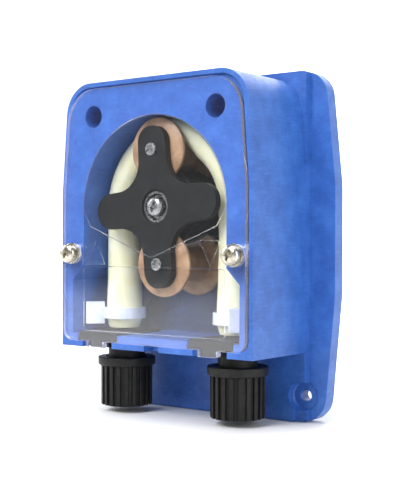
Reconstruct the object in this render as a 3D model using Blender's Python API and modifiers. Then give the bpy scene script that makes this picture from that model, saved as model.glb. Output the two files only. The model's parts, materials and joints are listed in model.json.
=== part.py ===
"""Panel-mounted peristaltic dosing pump with a clear front cover.

The pump head stands in front of a panel and its gearmotor reaches through a
cut-out behind it.  A hose is bent over the top of a round track, and two
flanged rollers squeeze it.  The motor shaft carries a friction wheel that
turns the roller cores, the rollers walk along the squeezed hose, and so they
carry the rotor round on its two ball bearings.

Blender units are metres, +Z is up, and -Y looks out of the clear cover.  The
origin lies on the back plane of the mounting plate, halfway between the two
mounting holes.  Every piece hangs on an empty on the rotor axis, in the plane
of the casing's front rim, so in the code below y is the depth behind that rim
and z is the height above the rotor axis.
"""

import math

import bmesh
import bpy

MM = 0.001
GAP = 0.3 * MM                 # clearance between touching pieces
OVERCUT = 0.5 * MM             # how far a cutter runs past the face that it opens
WELD = 0.001 * MM              # points this close are one
FLAT_ANGLE = 0.001             # faces that meet at less than this lie in one plane

# --- casing and mounting plate -------------------------------------------------
PUMP_DEPTH = 47.0 * MM         # front rim to the back plane of the plate
CASE_HALF = 50.0 * MM          # half width of the casing
CASE_TOP = 52.9 * MM
CASE_BOTTOM = -59.1 * MM
CASE_TAPER_START = 7.0 * MM    # above this height the sides lean inwards
CASE_TAPER = 3.4 * MM          # how far each side leans in at the top
CASE_CORNER = 13.5 * MM
LIP = 1.9 * MM                 # wall that frames the cover
SIDE_BLEND = 60.0 * MM         # radius where a side starts to lean

PAD_THICKNESS = 9.5 * MM       # raised centre of the plate
STRIP_THICKNESS = 6.0 * MM     # side strips of the plate
STRIP_WIDTH = 11.8 * MM
PAD_FACE = PUMP_DEPTH - PAD_THICKNESS
STRIP_FACE = PUMP_DEPTH - STRIP_THICKNESS
PLATE_HALF = CASE_HALF + STRIP_WIDTH
PLATE_TAPER = 4.8 * MM
PLATE_TOP = CASE_TOP + 2.5 * MM
PLATE_BOTTOM = CASE_BOTTOM - 28.5 * MM
PLATE_WAIST_TOP = 9.0 * MM
PLATE_WAIST_BOTTOM = -36.5 * MM
PLATE_CORNER = 11.0 * MM

HOLE_X = CASE_HALF - 1.8 * MM  # mounting holes
HOLE_DROP = 18.0 * MM - CASE_BOTTOM              # rotor axis down to the mounting holes
HOLE_RADIUS = 2.25 * MM
HOLE_RECESS_RADIUS = 6.0 * MM
HOLE_RECESS_SINK = 0.5 * MM    # how far the recess goes below the side strips
DRIP_NOTCH_DEPTH = 1.7 * MM    # notch from each recess down to the plate's lower edge
DRIP_NOTCH_HALF = 2.5 * MM

# --- rotor chamber ---------------------------------------------------------------
TRACK_RADIUS = 37.5 * MM
BLOCK_FACE = 1.5 * MM          # face of the casing block behind the cover
CHAMBER_BACK = PAD_FACE
CHAMBER_FLARE = 6.2 * MM       # how much wider the chamber is at its foot, on each side
FLOOR_THICKNESS = 5.6 * MM     # casing under the chamber
CHAMBER_FLOOR = CASE_BOTTOM + FLOOR_THICKNESS
BACK_WALL = 3.8 * MM           # wall between the chamber and the gearbox pocket

# --- cover -------------------------------------------------------------------------
COVER_THICKNESS = 3.0 * MM
COVER_PROUD = 1.8 * MM
COVER_SIDE_PLAY = 0.5 * MM
COVER_TOP_PLAY = 1.0 * MM
COVER_HALF = CASE_HALF - LIP - COVER_SIDE_PLAY
COVER_TOP = CASE_TOP - LIP - COVER_TOP_PLAY
FOOT_LIP = 2.4 * MM            # height of the lip below the cover
FOOT_STEP = CASE_BOTTOM + FOOT_LIP
COVER_BOTTOM = FOOT_STEP + GAP
COVER_CORNER = 14.5 * MM
COVER_FOOT_CORNER = 4.5 * MM
TAB_HALF = 4.6 * MM
TAB_BOTTOM = CASE_BOTTOM + 0.1 * MM
TAB_CORNER = 0.5 * MM
COVER_SCREW_LENGTH = 12.5 * MM # shank, from under the head
FLAT_WASHER = 0.6 * MM
FLAT_WASHER_RADIUS = 4.5 * MM
SPRING_WASHER = 0.8 * MM
SPRING_WASHER_RADIUS = 3.8 * MM
INSERT_RADIUS = 2.9 * MM       # brass thread inserts in the casing
INSERT_LENGTH = 7.0 * MM
INSERT_CLEAR = 4.0 * MM        # drilled on behind the insert
COVER_SCREW_X = (TRACK_RADIUS + COVER_HALF) / 2
COVER_SCREW_Z = -19.3 * MM
CHAMBER_FLARE_TOP = COVER_SCREW_Z - 5.1 * MM     # the chamber widens below the inserts
NOTCH_HALF = 3.8 * MM          # notch in the casing's bottom lip, for prising the cover
NOTCH_DEPTH = 6.0 * MM

# --- hose and fittings -----------------------------------------------------------------
HOSE_RADIUS = 7.25 * MM
HOSE_BORE = 4.0 * MM
HOSE_X = TRACK_RADIUS - HOSE_RADIUS - 2 * GAP
HOSE_DEPTH = 19.15 * MM
HOSE_FOOT_RADIUS = HOSE_RADIUS + 0.65 * MM       # the hose swells over the fitting's spigot
SPIGOT_PLAY = 0.4 * MM         # spigot to the hose's bore, and the flow bores to each other
COLLAR_HALF = 11.0 * MM
COLLAR_FRONT = 2.4 * MM
COLLAR_THICKNESS = 3.6 * MM
SHELF_THICKNESS = 2.6 * MM     # casing under the collars
SHELF = CASE_BOTTOM + SHELF_THICKNESS
COLLAR_BOTTOM = SHELF + GAP
COLLAR_TOP = COLLAR_BOTTOM + COLLAR_THICKNESS
NECK_RADIUS = 8.0 * MM
FLOW_BORE = 2.5 * MM
SPIGOT_TOP = COLLAR_TOP + 14.6 * MM
NUT_TOP = CASE_BOTTOM - 4.9 * MM
NUT_HEIGHT = 21.3 * MM
NUT_BOTTOM = NUT_TOP - NUT_HEIGHT
NUT_FLANGE = 3.8 * MM
NUT_FLANGE_RADIUS = 12.5 * MM
NUT_RADIUS = 11.25 * MM
NUT_FOOT = 1.2 * MM            # height of the sloping edge round the foot of the nut
NUT_FOOT_SLOPE = 1.3 * MM
NUT_DRAFT = 0.3 * MM
NUT_THREAD_RADIUS = 9.0 * MM
NUT_THREAD_LENGTH = 9.5 * MM
NUT_MOUTH_RADIUS = 6.3 * MM
NUT_MOUTH = 3.0 * MM           # thickness of the nut's floor
NUT_CONE = 3.0 * MM            # height of the cone that squeezes the ferrule
NECK_SLOPE_TOP = 0.4 * MM      # the neck widens to the thread from here above the nut's top
NECK_SLOPE_FOOT = 0.6 * MM     # to here below it
FERRULE_LENGTH = 4.0 * MM
FERRULE_ROOM = 1.3 * MM        # room for the outer hose's wall
OUTER_SPIGOT_RADIUS = 3.3 * MM
OUTER_SPIGOT_END = NUT_BOTTOM + 2.3 * MM
TIE_Z = COLLAR_TOP + 7.6 * MM
TIE_WIDTH = 4.8 * MM
TIE_THICKNESS = 1.3 * MM
TIE_HEAD = 9.4 * MM            # height of a tie's head, along the hose
TIE_HEAD_TURN = {"left": 225, "right": -50}      # degrees round the hose
TIE_HEAD_REACH = {"left": 8.0 * MM, "right": 4.6 * MM}     # how far it stands out
TIE_HEAD_WIDTH = {"left": 5.0 * MM, "right": 7.5 * MM}
HOSE_RELAX = 6.0 * MM          # length over which the hose shrinks above the spigot
HOSE_LEG_TOP = -8.0 * MM       # height where each leg starts to bend
HOSE_ARCH_STEPS = 18
HOSE_SIDES = 12
HOSE_RECOVERY = 2.0            # run over which the hose recovers, in hose radii on the pin circle
HOSE_FLAT_HALF = 9.8 * MM      # half width of the hose where a roller flattens it
HOSE_SLIT = 0.3 * MM           # half height of the bore there
HOSE_NIP_GAP = 0.7 * MM        # roller core to the flattened hose, which has flat facets

# --- rotor --------------------------------------------------------------------------------
REST_TURN = math.radians(-4.0)
NIP = 6.5 * MM                 # track to roller core, where the hose is squeezed
ROLLER_CORE_RADIUS = 7.5 * MM
PIN_CIRCLE = TRACK_RADIUS - NIP - ROLLER_CORE_RADIUS
PIN_RADIUS = 2.6 * MM
PIN_PROUD = 0.9 * MM           # the pins stand out of both spiders
SPIDER_FACE = 3.3 * MM
SPIDER_THICKNESS = 3.3 * MM
LOBE_HALF = 7.0 * MM           # half width at the tip of the pin lobes
LOBE_REACH = PIN_CIRCLE + 9.8 * MM
ARM_HALF = 7.3 * MM            # half width at the tip of the side arms
ARM_REACH = 31.2 * MM
LOBE_FLARE = 0.6 * MM          # lobes and arms are this much wider at the root
TIP_ROUND = 0.99               # tip corner radius, as a share of the half width
SPIDER_FILLET = 12.0 * MM
SPIDER_HUB_RADIUS = 9.0 * MM
SPIDER_HUB = 4.0 * MM          # how far the hub stands out behind the spider
ROLLER_END_PLAY = 0.4 * MM
ROLLER_WIDTH = 2 * (HOSE_DEPTH - SPIDER_FACE - SPIDER_THICKNESS - ROLLER_END_PLAY)
ROLLER_FLANGE = 1.9 * MM
FLANGE_PLAY = 0.5 * MM         # roller flanges to the track
HUB_PLAY = 1.0 * MM            # roller flanges to the spiders' hubs
ROLLER_FLANGE_RADIUS = min(TRACK_RADIUS - PIN_CIRCLE - FLANGE_PLAY,
                           PIN_CIRCLE - SPIDER_HUB_RADIUS - HUB_PLAY)
BEARING_RADIUS = 6.5 * MM
BEARING_WIDTH = 5.0 * MM
BEARING_RACE = 1.1 * MM        # wall of the outer and the inner ring
BEARING_SINK = 1.1 * MM        # how far the bearing sits below the spider's face
BALL_COUNT = 7
BALL_SIDES = 6
BALL_RINGS = 4
CAGE_HALF = 0.4 * MM           # half of the ball cage's wall
CAGE_SIDES = 2 * BALL_COUNT
HEAD_RADIUS = 4.0 * MM         # pan heads of the M4 screws
HEAD_HEIGHT = 2.2 * MM
HEAD_FLAT = 0.62               # flat top of a pan head, as a share of its radius
HEAD_DOME = 0.45               # height of its dome, as a share of the head's height
SCREW_SHANK_RADIUS = 2.0 * MM
SHAFT_SCREW_HEAD = 1.9 * MM
SHAFT_SCREW_LENGTH = 12.5 * MM
SHAFT_THREAD_DEPTH = 9.0 * MM

# --- drive -----------------------------------------------------------------------------------
SHAFT_RADIUS = 3.0 * MM
SEAL_RADIUS = 6.5 * MM
SHAFT_BUSH_RADIUS = 5.0 * MM
WHEEL_RADIUS = PIN_CIRCLE - ROLLER_CORE_RADIUS - GAP
WHEEL_SIDE_PLAY = 2.45 * MM    # friction wheel to the roller flanges
WHEEL_WIDTH = ROLLER_WIDTH - 2 * (ROLLER_FLANGE + WHEEL_SIDE_PLAY)
POST_PLAY = 1.0 * MM            # spacer posts to the friction wheel and to the hose
POST_RADIUS = (HOSE_X - HOSE_RADIUS - WHEEL_RADIUS) / 2 - POST_PLAY
POST_CIRCLE = WHEEL_RADIUS + POST_PLAY + POST_RADIUS
GEAR_MODULE = 0.7 * MM
GEAR_TEETH = 54
PINION_TEETH = 12
GEAR_WIDTH = 6.0 * MM
PRESSURE_ANGLE = math.radians(20)
TOOTH_TIP = 0.85               # tooth height outside and inside the pitch circle, in modules
TOOTH_ROOT = 1.15
TOOTH_PLAY = 0.12 * MM
GEAR_TIP_RADIUS = GEAR_MODULE * (GEAR_TEETH / 2 + TOOTH_TIP)
PINION_TIP_RADIUS = GEAR_MODULE * (PINION_TEETH / 2 + TOOTH_TIP)
MOTOR_DROP = GEAR_MODULE * (GEAR_TEETH + PINION_TEETH) / 2
GEAR_ROOM = 0.9 * MM           # gear tips to the gearbox wall
GEARBOX_SIDE = 2.6 * MM        # thinnest side wall of the gearbox
GEARBOX_HALF = GEAR_TIP_RADIUS + GEAR_ROOM + GEARBOX_SIDE
GEARBOX_TOP = GEARBOX_HALF
GEARBOX_BOTTOM = -(MOTOR_DROP + PINION_TIP_RADIUS + GEAR_ROOM + GEARBOX_SIDE)
GEARBOX_CORNER = 5.0 * MM
GEARBOX_LENGTH = 21.0 * MM
GEARBOX_WALL = 3.0 * MM
GEARBOX_LID = 3.0 * MM
GEARBOX_SCREW_INSET = 4.4 * MM
GEAR_OFFSET = 5.0 * MM         # gearbox front wall to the gear
PINION_EXTRA = 0.5 * MM        # the pinion is this much longer at each end
MOTOR_BOSS_RADIUS = 5.0 * MM
MOTOR_RADIUS = 17.8 * MM
MOTOR_LENGTH = 30.0 * MM
MOTOR_CAP = 4.0 * MM
MOTOR_SHAFT_RADIUS = 1.5 * MM
MOTOR_SHAFT_BITE = 12.0 * MM   # how far the motor's shaft runs into the can
TERMINAL_X = 7.0 * MM
TERMINAL_HALF_WIDTH = 2.4 * MM
TERMINAL_HALF_THICKNESS = 0.4 * MM
TERMINAL_LENGTH = 6.0 * MM
FLAT_HEAD_RADIUS = 2.9 * MM    # countersunk gearmotor screws
FLAT_HEAD = 1.7 * MM
SMALL_SHANK_RADIUS = 1.5 * MM  # M3

# --- rear housing -------------------------------------------------------------------------------
REAR_HALF = CASE_HALF - 8.0 * MM
REAR_TOP = 46.5 * MM
REAR_BOTTOM = -46.5 * MM
REAR_CORNER = 7.0 * MM
REAR_WALL = 2.5 * MM
REAR_LENGTH = 63.5 * MM
GASKET = 1.2 * MM
DOME_TOP = 36.0 * MM           # the dome over the motor stands on a wider, shallow part
DOME_HALF = MOTOR_RADIUS + 1.7 * MM + REAR_WALL
DOME_CORNER = 6.0 * MM
LID_ROOM = 1.0 * MM            # gearbox lid to the shoulder of the rear housing
LONG_SCREW_X = REAR_HALF - 10.0 * MM
LONG_SCREW_Z = REAR_TOP - 8.0 * MM
LONG_SCREW_WELL_RADIUS = 4.7 * MM
LONG_SCREW_WELL = 28.0 * MM    # how deep the wells of the long screws are
LONG_SCREW_BITE = 11.0 * MM    # how far the long screws run into the rear housing
TOP_BOSS_RADIUS = 6.0 * MM
TOP_BOSS_LENGTH = LONG_SCREW_BITE + 4.0 * MM
REAR_SCREW_X = REAR_HALF - 6.5 * MM
REAR_SCREW_Z = REAR_BOTTOM + 8.5 * MM
REAR_SCREW_BITE = 6.0 * MM     # how far the rear screws run into the plate
REAR_SCREW_SEAT = 8.0 * MM     # thickness of material under their heads
REAR_HEAD_RADIUS = 2.8 * MM
REAR_HEAD = 2.2 * MM
REAR_BOSS_RADIUS = 4.9 * MM
GLAND_INSET = 43.2 * MM        # mouth of the rear housing to the cable gland
GLAND_Z = 24.0 * MM
GLAND_BORE = 3.2 * MM
GLAND_BORE_PLAY = 0.4 * MM     # the body's bore is this much wider than the nut's
GLAND_THREAD_RADIUS = 5.6 * MM
GLAND_HEX_RADIUS = 8.6 * MM
GLAND_HEX_SIDES = 6
GLAND_BODY = 6.0 * MM
GLAND_STUB = 5.0 * MM
GLAND_NUT = 8.0 * MM
GLAND_NUT_ROOT = GLAND_HEX_RADIUS - 0.4 * MM
GLAND_NUT_SHOULDER = GLAND_HEX_RADIUS - 1.2 * MM
GLAND_NUT_MOUTH = GLAND_BORE + 1.2 * MM
GLAND_NUT_TAPER = 2.0 * MM

# --- what follows from the sizes above -------------------------------------------------------------
COVER_FRONT = -COVER_PROUD
COVER_BACK = COVER_FRONT + COVER_THICKNESS
ROLLER_FRONT = HOSE_DEPTH - ROLLER_WIDTH / 2
ROLLER_BACK = HOSE_DEPTH + ROLLER_WIDTH / 2
SPIDER_BACK = 2 * HOSE_DEPTH - SPIDER_FACE       # back face of the rear spider
POCKET_FACE = CHAMBER_BACK + BACK_WALL
GEARBOX_FRONT = POCKET_FACE + GAP
GEARBOX_BACK = GEARBOX_FRONT + GEARBOX_LENGTH
LID_FRONT = GEARBOX_BACK + GAP
LID_BACK = LID_FRONT + GEARBOX_LID
MOTOR_FRONT = LID_BACK + GAP
MOTOR_BACK = MOTOR_FRONT + MOTOR_LENGTH
CAP_FRONT = MOTOR_BACK + GAP
CAP_BACK = CAP_FRONT + MOTOR_CAP
GASKET_FRONT = PUMP_DEPTH + GAP
REAR_FRONT = GASKET_FRONT + GASKET + GAP
REAR_BACK = REAR_FRONT + REAR_LENGTH
SHOULDER = LID_BACK + LID_ROOM + REAR_WALL       # back of the rear housing's wide part
GLAND_DEPTH = REAR_FRONT + GLAND_INSET
GEAR_FRONT = GEARBOX_FRONT + GEARBOX_WALL + GEAR_OFFSET
HOSE_FOOT = COLLAR_TOP + GAP
BEARING_FRONT = SPIDER_FACE + BEARING_SINK
BEARING_BACK = BEARING_FRONT + BEARING_WIDTH

ROUND = 24                     # sides of a large round piece
MEDIUM_ROUND = 20              # sides of a bush, a bearing ring and a pin
SMALL_ROUND = 12               # sides of a screw and a small hole
QUARTER = 4                    # chords in a rounded corner

SIDES = ((-1, "left"), (1, "right"))
ENDS = ((1, "top"), (-1, "bottom"))


# --- scene, materials and helpers -----------------------------------------------------------------

def clear_scene():
    for old in list(bpy.data.objects):
        bpy.data.objects.remove(old, do_unlink=True)


def new_collection(name):
    collection = bpy.data.collections.new(name)
    bpy.context.scene.collection.children.link(collection)
    return collection


def material(name, colour, roughness, metallic=0.0):
    made = bpy.data.materials.new(name)
    made.use_nodes = True
    shader = made.node_tree.nodes["Principled BSDF"]
    shader.inputs["Base Color"].default_value = (*colour, 1.0)
    shader.inputs["Roughness"].default_value = roughness
    shader.inputs["Metallic"].default_value = metallic
    return made


clear_scene()
PUMP = new_collection("peristaltic_dosing_pump")
CUTTERS = new_collection("cutters")

BLUE = material("blue_housing", (0.045, 0.19, 0.78), 0.45)
CLEAR = material("clear_cover", (0.80, 0.84, 0.95), 0.08)
BLACK = material("black_plastic", (0.03, 0.03, 0.028), 0.45)
REAR_BLACK = material("rear_housing_black", (0.035, 0.037, 0.04), 0.55)
TAN = material("tan_roller", (0.42, 0.27, 0.15), 0.4)
CREAM = material("cream_hose", (0.87, 0.85, 0.62), 0.5)
WHITE = material("white_nylon", (0.86, 0.88, 0.92), 0.4)
STEEL = material("steel", (0.62, 0.61, 0.58), 0.25, 1.0)
ZINC = material("zinc_plate", (0.66, 0.62, 0.50), 0.3, 1.0)
BRASS = material("brass", (0.72, 0.53, 0.25), 0.3, 1.0)
CAST = material("cast_alloy", (0.45, 0.46, 0.47), 0.5, 1.0)
RUBBER = material("rubber", (0.02, 0.02, 0.02), 0.8)


def empty(name, parent=None, location=(0, 0, 0), turn=0.0):
    made = bpy.data.objects.new(name, None)
    made.empty_display_size = 0.01
    made.parent = parent
    made.location = location
    made.rotation_euler = (0, turn, 0)
    PUMP.objects.link(made)
    return made


PUMP_AXIS = empty("pump_axis", location=(0, -PUMP_DEPTH, HOLE_DROP))
ROTOR_AXIS = empty("rotor_axis", PUMP_AXIS, turn=REST_TURN)
DRIVE_AXIS = empty("drive_axis", PUMP_AXIS)
MOTOR_AXIS = empty("motor_axis", PUMP_AXIS, (0, 0, -MOTOR_DROP))


def put(name, data, look, parent, location=(0, 0, 0), rotation=(0, 0, 0)):
    """Places new object data.  Without a look it is a cutter or a joining blank."""
    made = bpy.data.objects.new(name, data)
    made.parent = parent
    made.location = location
    made.rotation_euler = rotation
    if look is None:
        made.hide_render = True
        made.display_type = "WIRE"
        CUTTERS.objects.link(made)
    else:
        data.materials.append(look)
        PUMP.objects.link(made)
    return made


AXIS_TURNS = {"X": (0, -math.pi / 2, 0), "Y": (math.pi / 2, 0, 0), "Z": (0, 0, 0)}


def turned(name, profile, look, parent=PUMP_AXIS, at=(0, 0, 0), axis="Y", steps=ROUND):
    """A turned piece.  The profile lists (radius, position along the axis) down the outer
    side: left to right for axis X, front to back for axis Y, top to bottom for axis Z."""
    sign = 1 if axis == "Z" else -1
    mesh = bpy.data.meshes.new(name)
    points = [(radius, 0, sign * along) for radius, along in profile]
    edges = [(i, i + 1) for i in range(len(points) - 1)]
    if profile[0][0] > 0:
        edges.append((len(points) - 1, 0))
    mesh.from_pydata(points, edges, [])
    made = put(name, mesh, look, parent, at, AXIS_TURNS[axis])
    screw = made.modifiers.new("Screw", "SCREW")
    screw.steps = steps
    screw.render_steps = steps
    screw.use_merge_vertices = True
    screw.merge_threshold = WELD
    return made


def drum(name, radius, start, end, look, parent=PUMP_AXIS, at=(0, 0, 0), axis="Y", steps=ROUND):
    """A plain cylinder, given from start to end in the direction that turned() takes."""
    profile = [(0, start), (radius, start), (radius, end), (0, end)]
    return turned(name, profile, look, parent, at, axis, steps)


def ring(name, outer, inner, start, end, look, parent=PUMP_AXIS, at=(0, 0, 0), axis="Y",
         steps=ROUND):
    """A sleeve with a round bore."""
    profile = [(outer, start), (outer, end), (inner, end), (inner, start)]
    return turned(name, profile, look, parent, at, axis, steps)


def block(name, low, high, look, parent=PUMP_AXIS):
    """A box between two corners."""
    mesh = bpy.data.meshes.new(name)
    shape = bmesh.new()
    bmesh.ops.create_cube(shape, size=1.0)
    size = [b - a for a, b in zip(low, high)]
    middle = [(a + b) / 2 for a, b in zip(low, high)]
    bmesh.ops.scale(shape, vec=size, verts=shape.verts)
    shape.to_mesh(mesh)
    shape.free()
    return put(name, mesh, look, parent, middle)


def rounded(corners):
    """Turns corners (x, z, radius) into an outline whose corners are arcs."""
    outline = []
    count = len(corners)
    for i, (x, z, radius) in enumerate(corners):
        before = corners[i - 1]
        after = corners[(i + 1) % count]
        if radius <= 0:
            outline.append((x, z))
            continue
        ax, az = before[0] - x, before[1] - z
        bx, bz = after[0] - x, after[1] - z
        al, bl = math.hypot(ax, az), math.hypot(bx, bz)
        ax, az, bx, bz = ax / al, az / al, bx / bl, bz / bl
        half = math.acos(max(-1, min(1, ax * bx + az * bz))) / 2
        reach = radius / math.sin(half)
        mx, mz = ax + bx, az + bz
        ml = math.hypot(mx, mz)
        cx, cz = x + mx / ml * reach, z + mz / ml * reach
        run = radius / math.tan(half)
        start = math.atan2(z + az * run - cz, x + ax * run - cx)
        end = math.atan2(z + bz * run - cz, x + bx * run - cx)
        sweep = (end - start + math.pi) % (2 * math.pi) - math.pi
        chords = max(2, round(QUARTER * abs(sweep) / (math.pi / 2)))
        for step in range(chords + 1):
            angle = start + sweep * step / chords
            outline.append((cx + radius * math.cos(angle), cz + radius * math.sin(angle)))
    return outline


def mirrored(half):
    """Completes a right-hand half outline, listed from the bottom up, with its left half."""
    return list(half) + [(-x, *rest) for x, *rest in reversed(half)]


def slab(name, outlines, start, end, look, parent=PUMP_AXIS, flat=False, at=(0, 0)):
    """A flat outline, with any holes as further outlines, drawn in x and z and pulled
    through from start to end in depth.  A flat slab lies in x and y and is pulled in z."""
    curve = bpy.data.curves.new(name, "CURVE")
    curve.dimensions = "2D"
    curve.fill_mode = "BOTH"
    curve.extrude = abs(end - start) / 2
    for outline in outlines:
        spline = curve.splines.new("POLY")
        spline.points.add(len(outline) - 1)
        for point, (x, z) in zip(spline.points, outline):
            point.co = (x, z, 0, 1)
        spline.use_cyclic_u = True
    middle = (start + end) / 2
    if flat:
        return put(name, curve, look, parent, (at[0], at[1], middle))
    return put(name, curve, look, parent, (at[0], middle, at[1]), (math.pi / 2, 0, 0))


def as_mesh(piece):
    """Makes a curve piece a mesh with welded caps, so that it can be cut or joined."""
    bpy.context.view_layer.update()
    seen = piece.evaluated_get(bpy.context.evaluated_depsgraph_get())
    mesh = bpy.data.meshes.new_from_object(seen)
    shape = bmesh.new()
    shape.from_mesh(mesh)
    bmesh.ops.remove_doubles(shape, verts=shape.verts, dist=WELD)
    bmesh.ops.dissolve_limit(shape, angle_limit=FLAT_ANGLE, verts=shape.verts, edges=shape.edges)
    shape.to_mesh(mesh)
    shape.free()
    name = piece.name
    made = bpy.data.objects.new(name + "_mesh", mesh)
    made.parent = piece.parent
    made.matrix_world = piece.matrix_world.copy()
    made.hide_render = piece.hide_render
    made.display_type = piece.display_type
    for collection in piece.users_collection:
        collection.objects.link(made)
    bpy.data.objects.remove(piece, do_unlink=True)
    made.name = name
    return made


def boolean(piece, tool, operation):
    step = piece.modifiers.new(tool.name, "BOOLEAN")
    step.operation = operation
    step.object = tool


def cut(piece, *tools):
    for tool in tools:
        boolean(piece, tool, "DIFFERENCE")


def join(piece, *tools):
    for tool in tools:
        boolean(piece, tool, "UNION")


def circle(x, z, radius, steps=SMALL_ROUND):
    turn = 2 * math.pi / steps
    return [(x + radius * math.cos(turn * i), z + radius * math.sin(turn * i))
            for i in range(steps)]


# --- outlines ------------------------------------------------------------------------------

def case_outline(inset=0.0, bottom=CASE_BOTTOM, foot=0.0):
    """The casing seen from the front, or the same line moved inwards."""
    half = CASE_HALF - inset
    return rounded(mirrored([
        (half, bottom, foot),
        (half, CASE_TAPER_START, SIDE_BLEND),
        (half - CASE_TAPER, CASE_TOP - inset, CASE_CORNER - inset),
    ]))


def plate_outline():
    return rounded(mirrored([
        (PLATE_HALF - PLATE_TAPER, PLATE_BOTTOM, PLATE_CORNER),
        (PLATE_HALF, PLATE_WAIST_BOTTOM, SIDE_BLEND),
        (PLATE_HALF, PLATE_WAIST_TOP, SIDE_BLEND),
        (PLATE_HALF - PLATE_TAPER, PLATE_TOP, PLATE_CORNER),
    ]))


def chamber_outline():
    """The round track on top, straight sides, and the wider foot for the hose ties."""
    steps = 6 * QUARTER
    turns = [math.pi * i / steps for i in range(steps + 1)]
    arch = [(TRACK_RADIUS * math.cos(turn), TRACK_RADIUS * math.sin(turn)) for turn in turns]
    wide = TRACK_RADIUS + CHAMBER_FLARE
    flare_bottom = CHAMBER_FLARE_TOP - CHAMBER_FLARE
    return arch + [
        (-TRACK_RADIUS, CHAMBER_FLARE_TOP), (-wide, flare_bottom), (-wide, CHAMBER_FLOOR),
        (wide, CHAMBER_FLOOR), (wide, flare_bottom), (TRACK_RADIUS, CHAMBER_FLARE_TOP),
    ]


def cover_outline():
    foot = COVER_FOOT_CORNER
    return rounded(mirrored([
        (HOSE_X - TAB_HALF, COVER_BOTTOM, 0),
        (HOSE_X - TAB_HALF, TAB_BOTTOM, TAB_CORNER),
        (HOSE_X + TAB_HALF, TAB_BOTTOM, TAB_CORNER),
        (HOSE_X + TAB_HALF, COVER_BOTTOM, 0),
        (COVER_HALF, COVER_BOTTOM, foot),
        (COVER_HALF, CASE_TAPER_START, SIDE_BLEND),
        (COVER_HALF - CASE_TAPER, COVER_TOP, COVER_CORNER),
    ]))


def spider_outline():
    """Two long lobes for the roller pins and two shorter arms for the spacer posts."""
    lobe_root = LOBE_HALF + LOBE_FLARE
    arm_root = ARM_HALF + LOBE_FLARE
    lobe_end = TIP_ROUND * LOBE_HALF
    arm_end = TIP_ROUND * ARM_HALF
    return rounded(mirrored([
        (LOBE_HALF, -LOBE_REACH, lobe_end),
        (lobe_root, -arm_root, SPIDER_FILLET),
        (ARM_REACH, -ARM_HALF, arm_end),
        (ARM_REACH, ARM_HALF, arm_end),
        (lobe_root, arm_root, SPIDER_FILLET),
        (LOBE_HALF, LOBE_REACH, lobe_end),
    ]))


def gear_outline(teeth):
    """Straight-flanked teeth on the pitch circle, a little slim so that they run free."""
    pitch = GEAR_MODULE * teeth / 2
    tip = pitch + TOOTH_TIP * GEAR_MODULE
    root = pitch - TOOTH_ROOT * GEAR_MODULE
    lean = math.tan(PRESSURE_ANGLE)
    half_pitch = math.pi * GEAR_MODULE / 4 - TOOTH_PLAY
    half_tip = half_pitch - (tip - pitch) * lean
    half_root = half_pitch + (pitch - root) * lean
    outline = []
    for tooth in range(teeth):
        middle = 2 * math.pi * tooth / teeth
        for radius, half in ((root, -half_root), (tip, -half_tip), (tip, half_tip), (root, half_root)):
            angle = middle + half / radius
            outline.append((radius * math.cos(angle), radius * math.sin(angle)))
    return outline


# --- housing -----------------------------------------------------------------------------------

def hose_slot(side, label):
    """T-shaped way for a fitting: a wide groove for its collar over a slot for its neck."""
    x = side * HOSE_X
    wide = COLLAR_HALF + GAP
    groove = block(f"cut_groove_{label}", (x - wide, BLOCK_FACE - OVERCUT, SHELF),
                   (x + wide, HOSE_DEPTH + wide, CHAMBER_FLOOR + OVERCUT), None)
    neck = NECK_RADIUS + GAP
    slot = block(f"cut_slot_{label}", (x - neck, -OVERCUT, CASE_BOTTOM - OVERCUT),
                 (x + neck, HOSE_DEPTH, SHELF + OVERCUT), None)
    seat = drum(f"cut_slot_end_{label}", neck, SHELF + OVERCUT, CASE_BOTTOM - OVERCUT, None,
                at=(x, HOSE_DEPTH, 0), axis="Z")
    return groove, slot, seat


def mounting_hole(side, label):
    """A screw hole through the plate in a round recess, and the notch below it."""
    floor = STRIP_FACE + HOLE_RECESS_SINK
    front = PAD_FACE - OVERCUT
    back = PUMP_DEPTH + OVERCUT
    hole = turned(f"cut_mounting_hole_{label}", [
        (0, front), (HOLE_RECESS_RADIUS, front), (HOLE_RECESS_RADIUS, floor),
        (HOLE_RADIUS, floor), (HOLE_RADIUS, back), (0, back)],
        None, at=(side * HOLE_X, 0, -HOLE_DROP), steps=MEDIUM_ROUND)
    x = side * (CASE_HALF - DRIP_NOTCH_HALF)
    top = -HOLE_DROP - HOLE_RECESS_RADIUS + OVERCUT
    notch = block(f"cut_drip_notch_{label}", (x - DRIP_NOTCH_HALF, front, PLATE_BOTTOM - OVERCUT),
                  (x + DRIP_NOTCH_HALF, PAD_FACE + DRIP_NOTCH_DEPTH, top), None)
    return hole, notch


def screw_bores(side, label):
    """The well and bore of a long screw, the seat of a thread insert, and a rear screw's hole."""
    shank = SCREW_SHANK_RADIUS + GAP
    well = turned(f"cut_well_{label}", [
        (0, BLOCK_FACE - OVERCUT), (LONG_SCREW_WELL_RADIUS, BLOCK_FACE - OVERCUT),
        (LONG_SCREW_WELL_RADIUS, LONG_SCREW_WELL), (shank, LONG_SCREW_WELL),
        (shank, PUMP_DEPTH + OVERCUT), (0, PUMP_DEPTH + OVERCUT)],
        None, at=(side * LONG_SCREW_X, 0, LONG_SCREW_Z), steps=MEDIUM_ROUND)
    insert = drum(f"cut_insert_{label}", INSERT_RADIUS + GAP, BLOCK_FACE - OVERCUT,
                  BLOCK_FACE + GAP + INSERT_LENGTH + INSERT_CLEAR, None,
                  at=(side * COVER_SCREW_X, 0, COVER_SCREW_Z), steps=SMALL_ROUND)
    rear = drum(f"cut_rear_screw_{label}", SMALL_SHANK_RADIUS + GAP,
                PUMP_DEPTH - REAR_SCREW_BITE - 2 * GAP, PUMP_DEPTH + OVERCUT, None,
                at=(side * REAR_SCREW_X, 0, REAR_SCREW_Z), steps=SMALL_ROUND)
    return well, insert, rear


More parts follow.
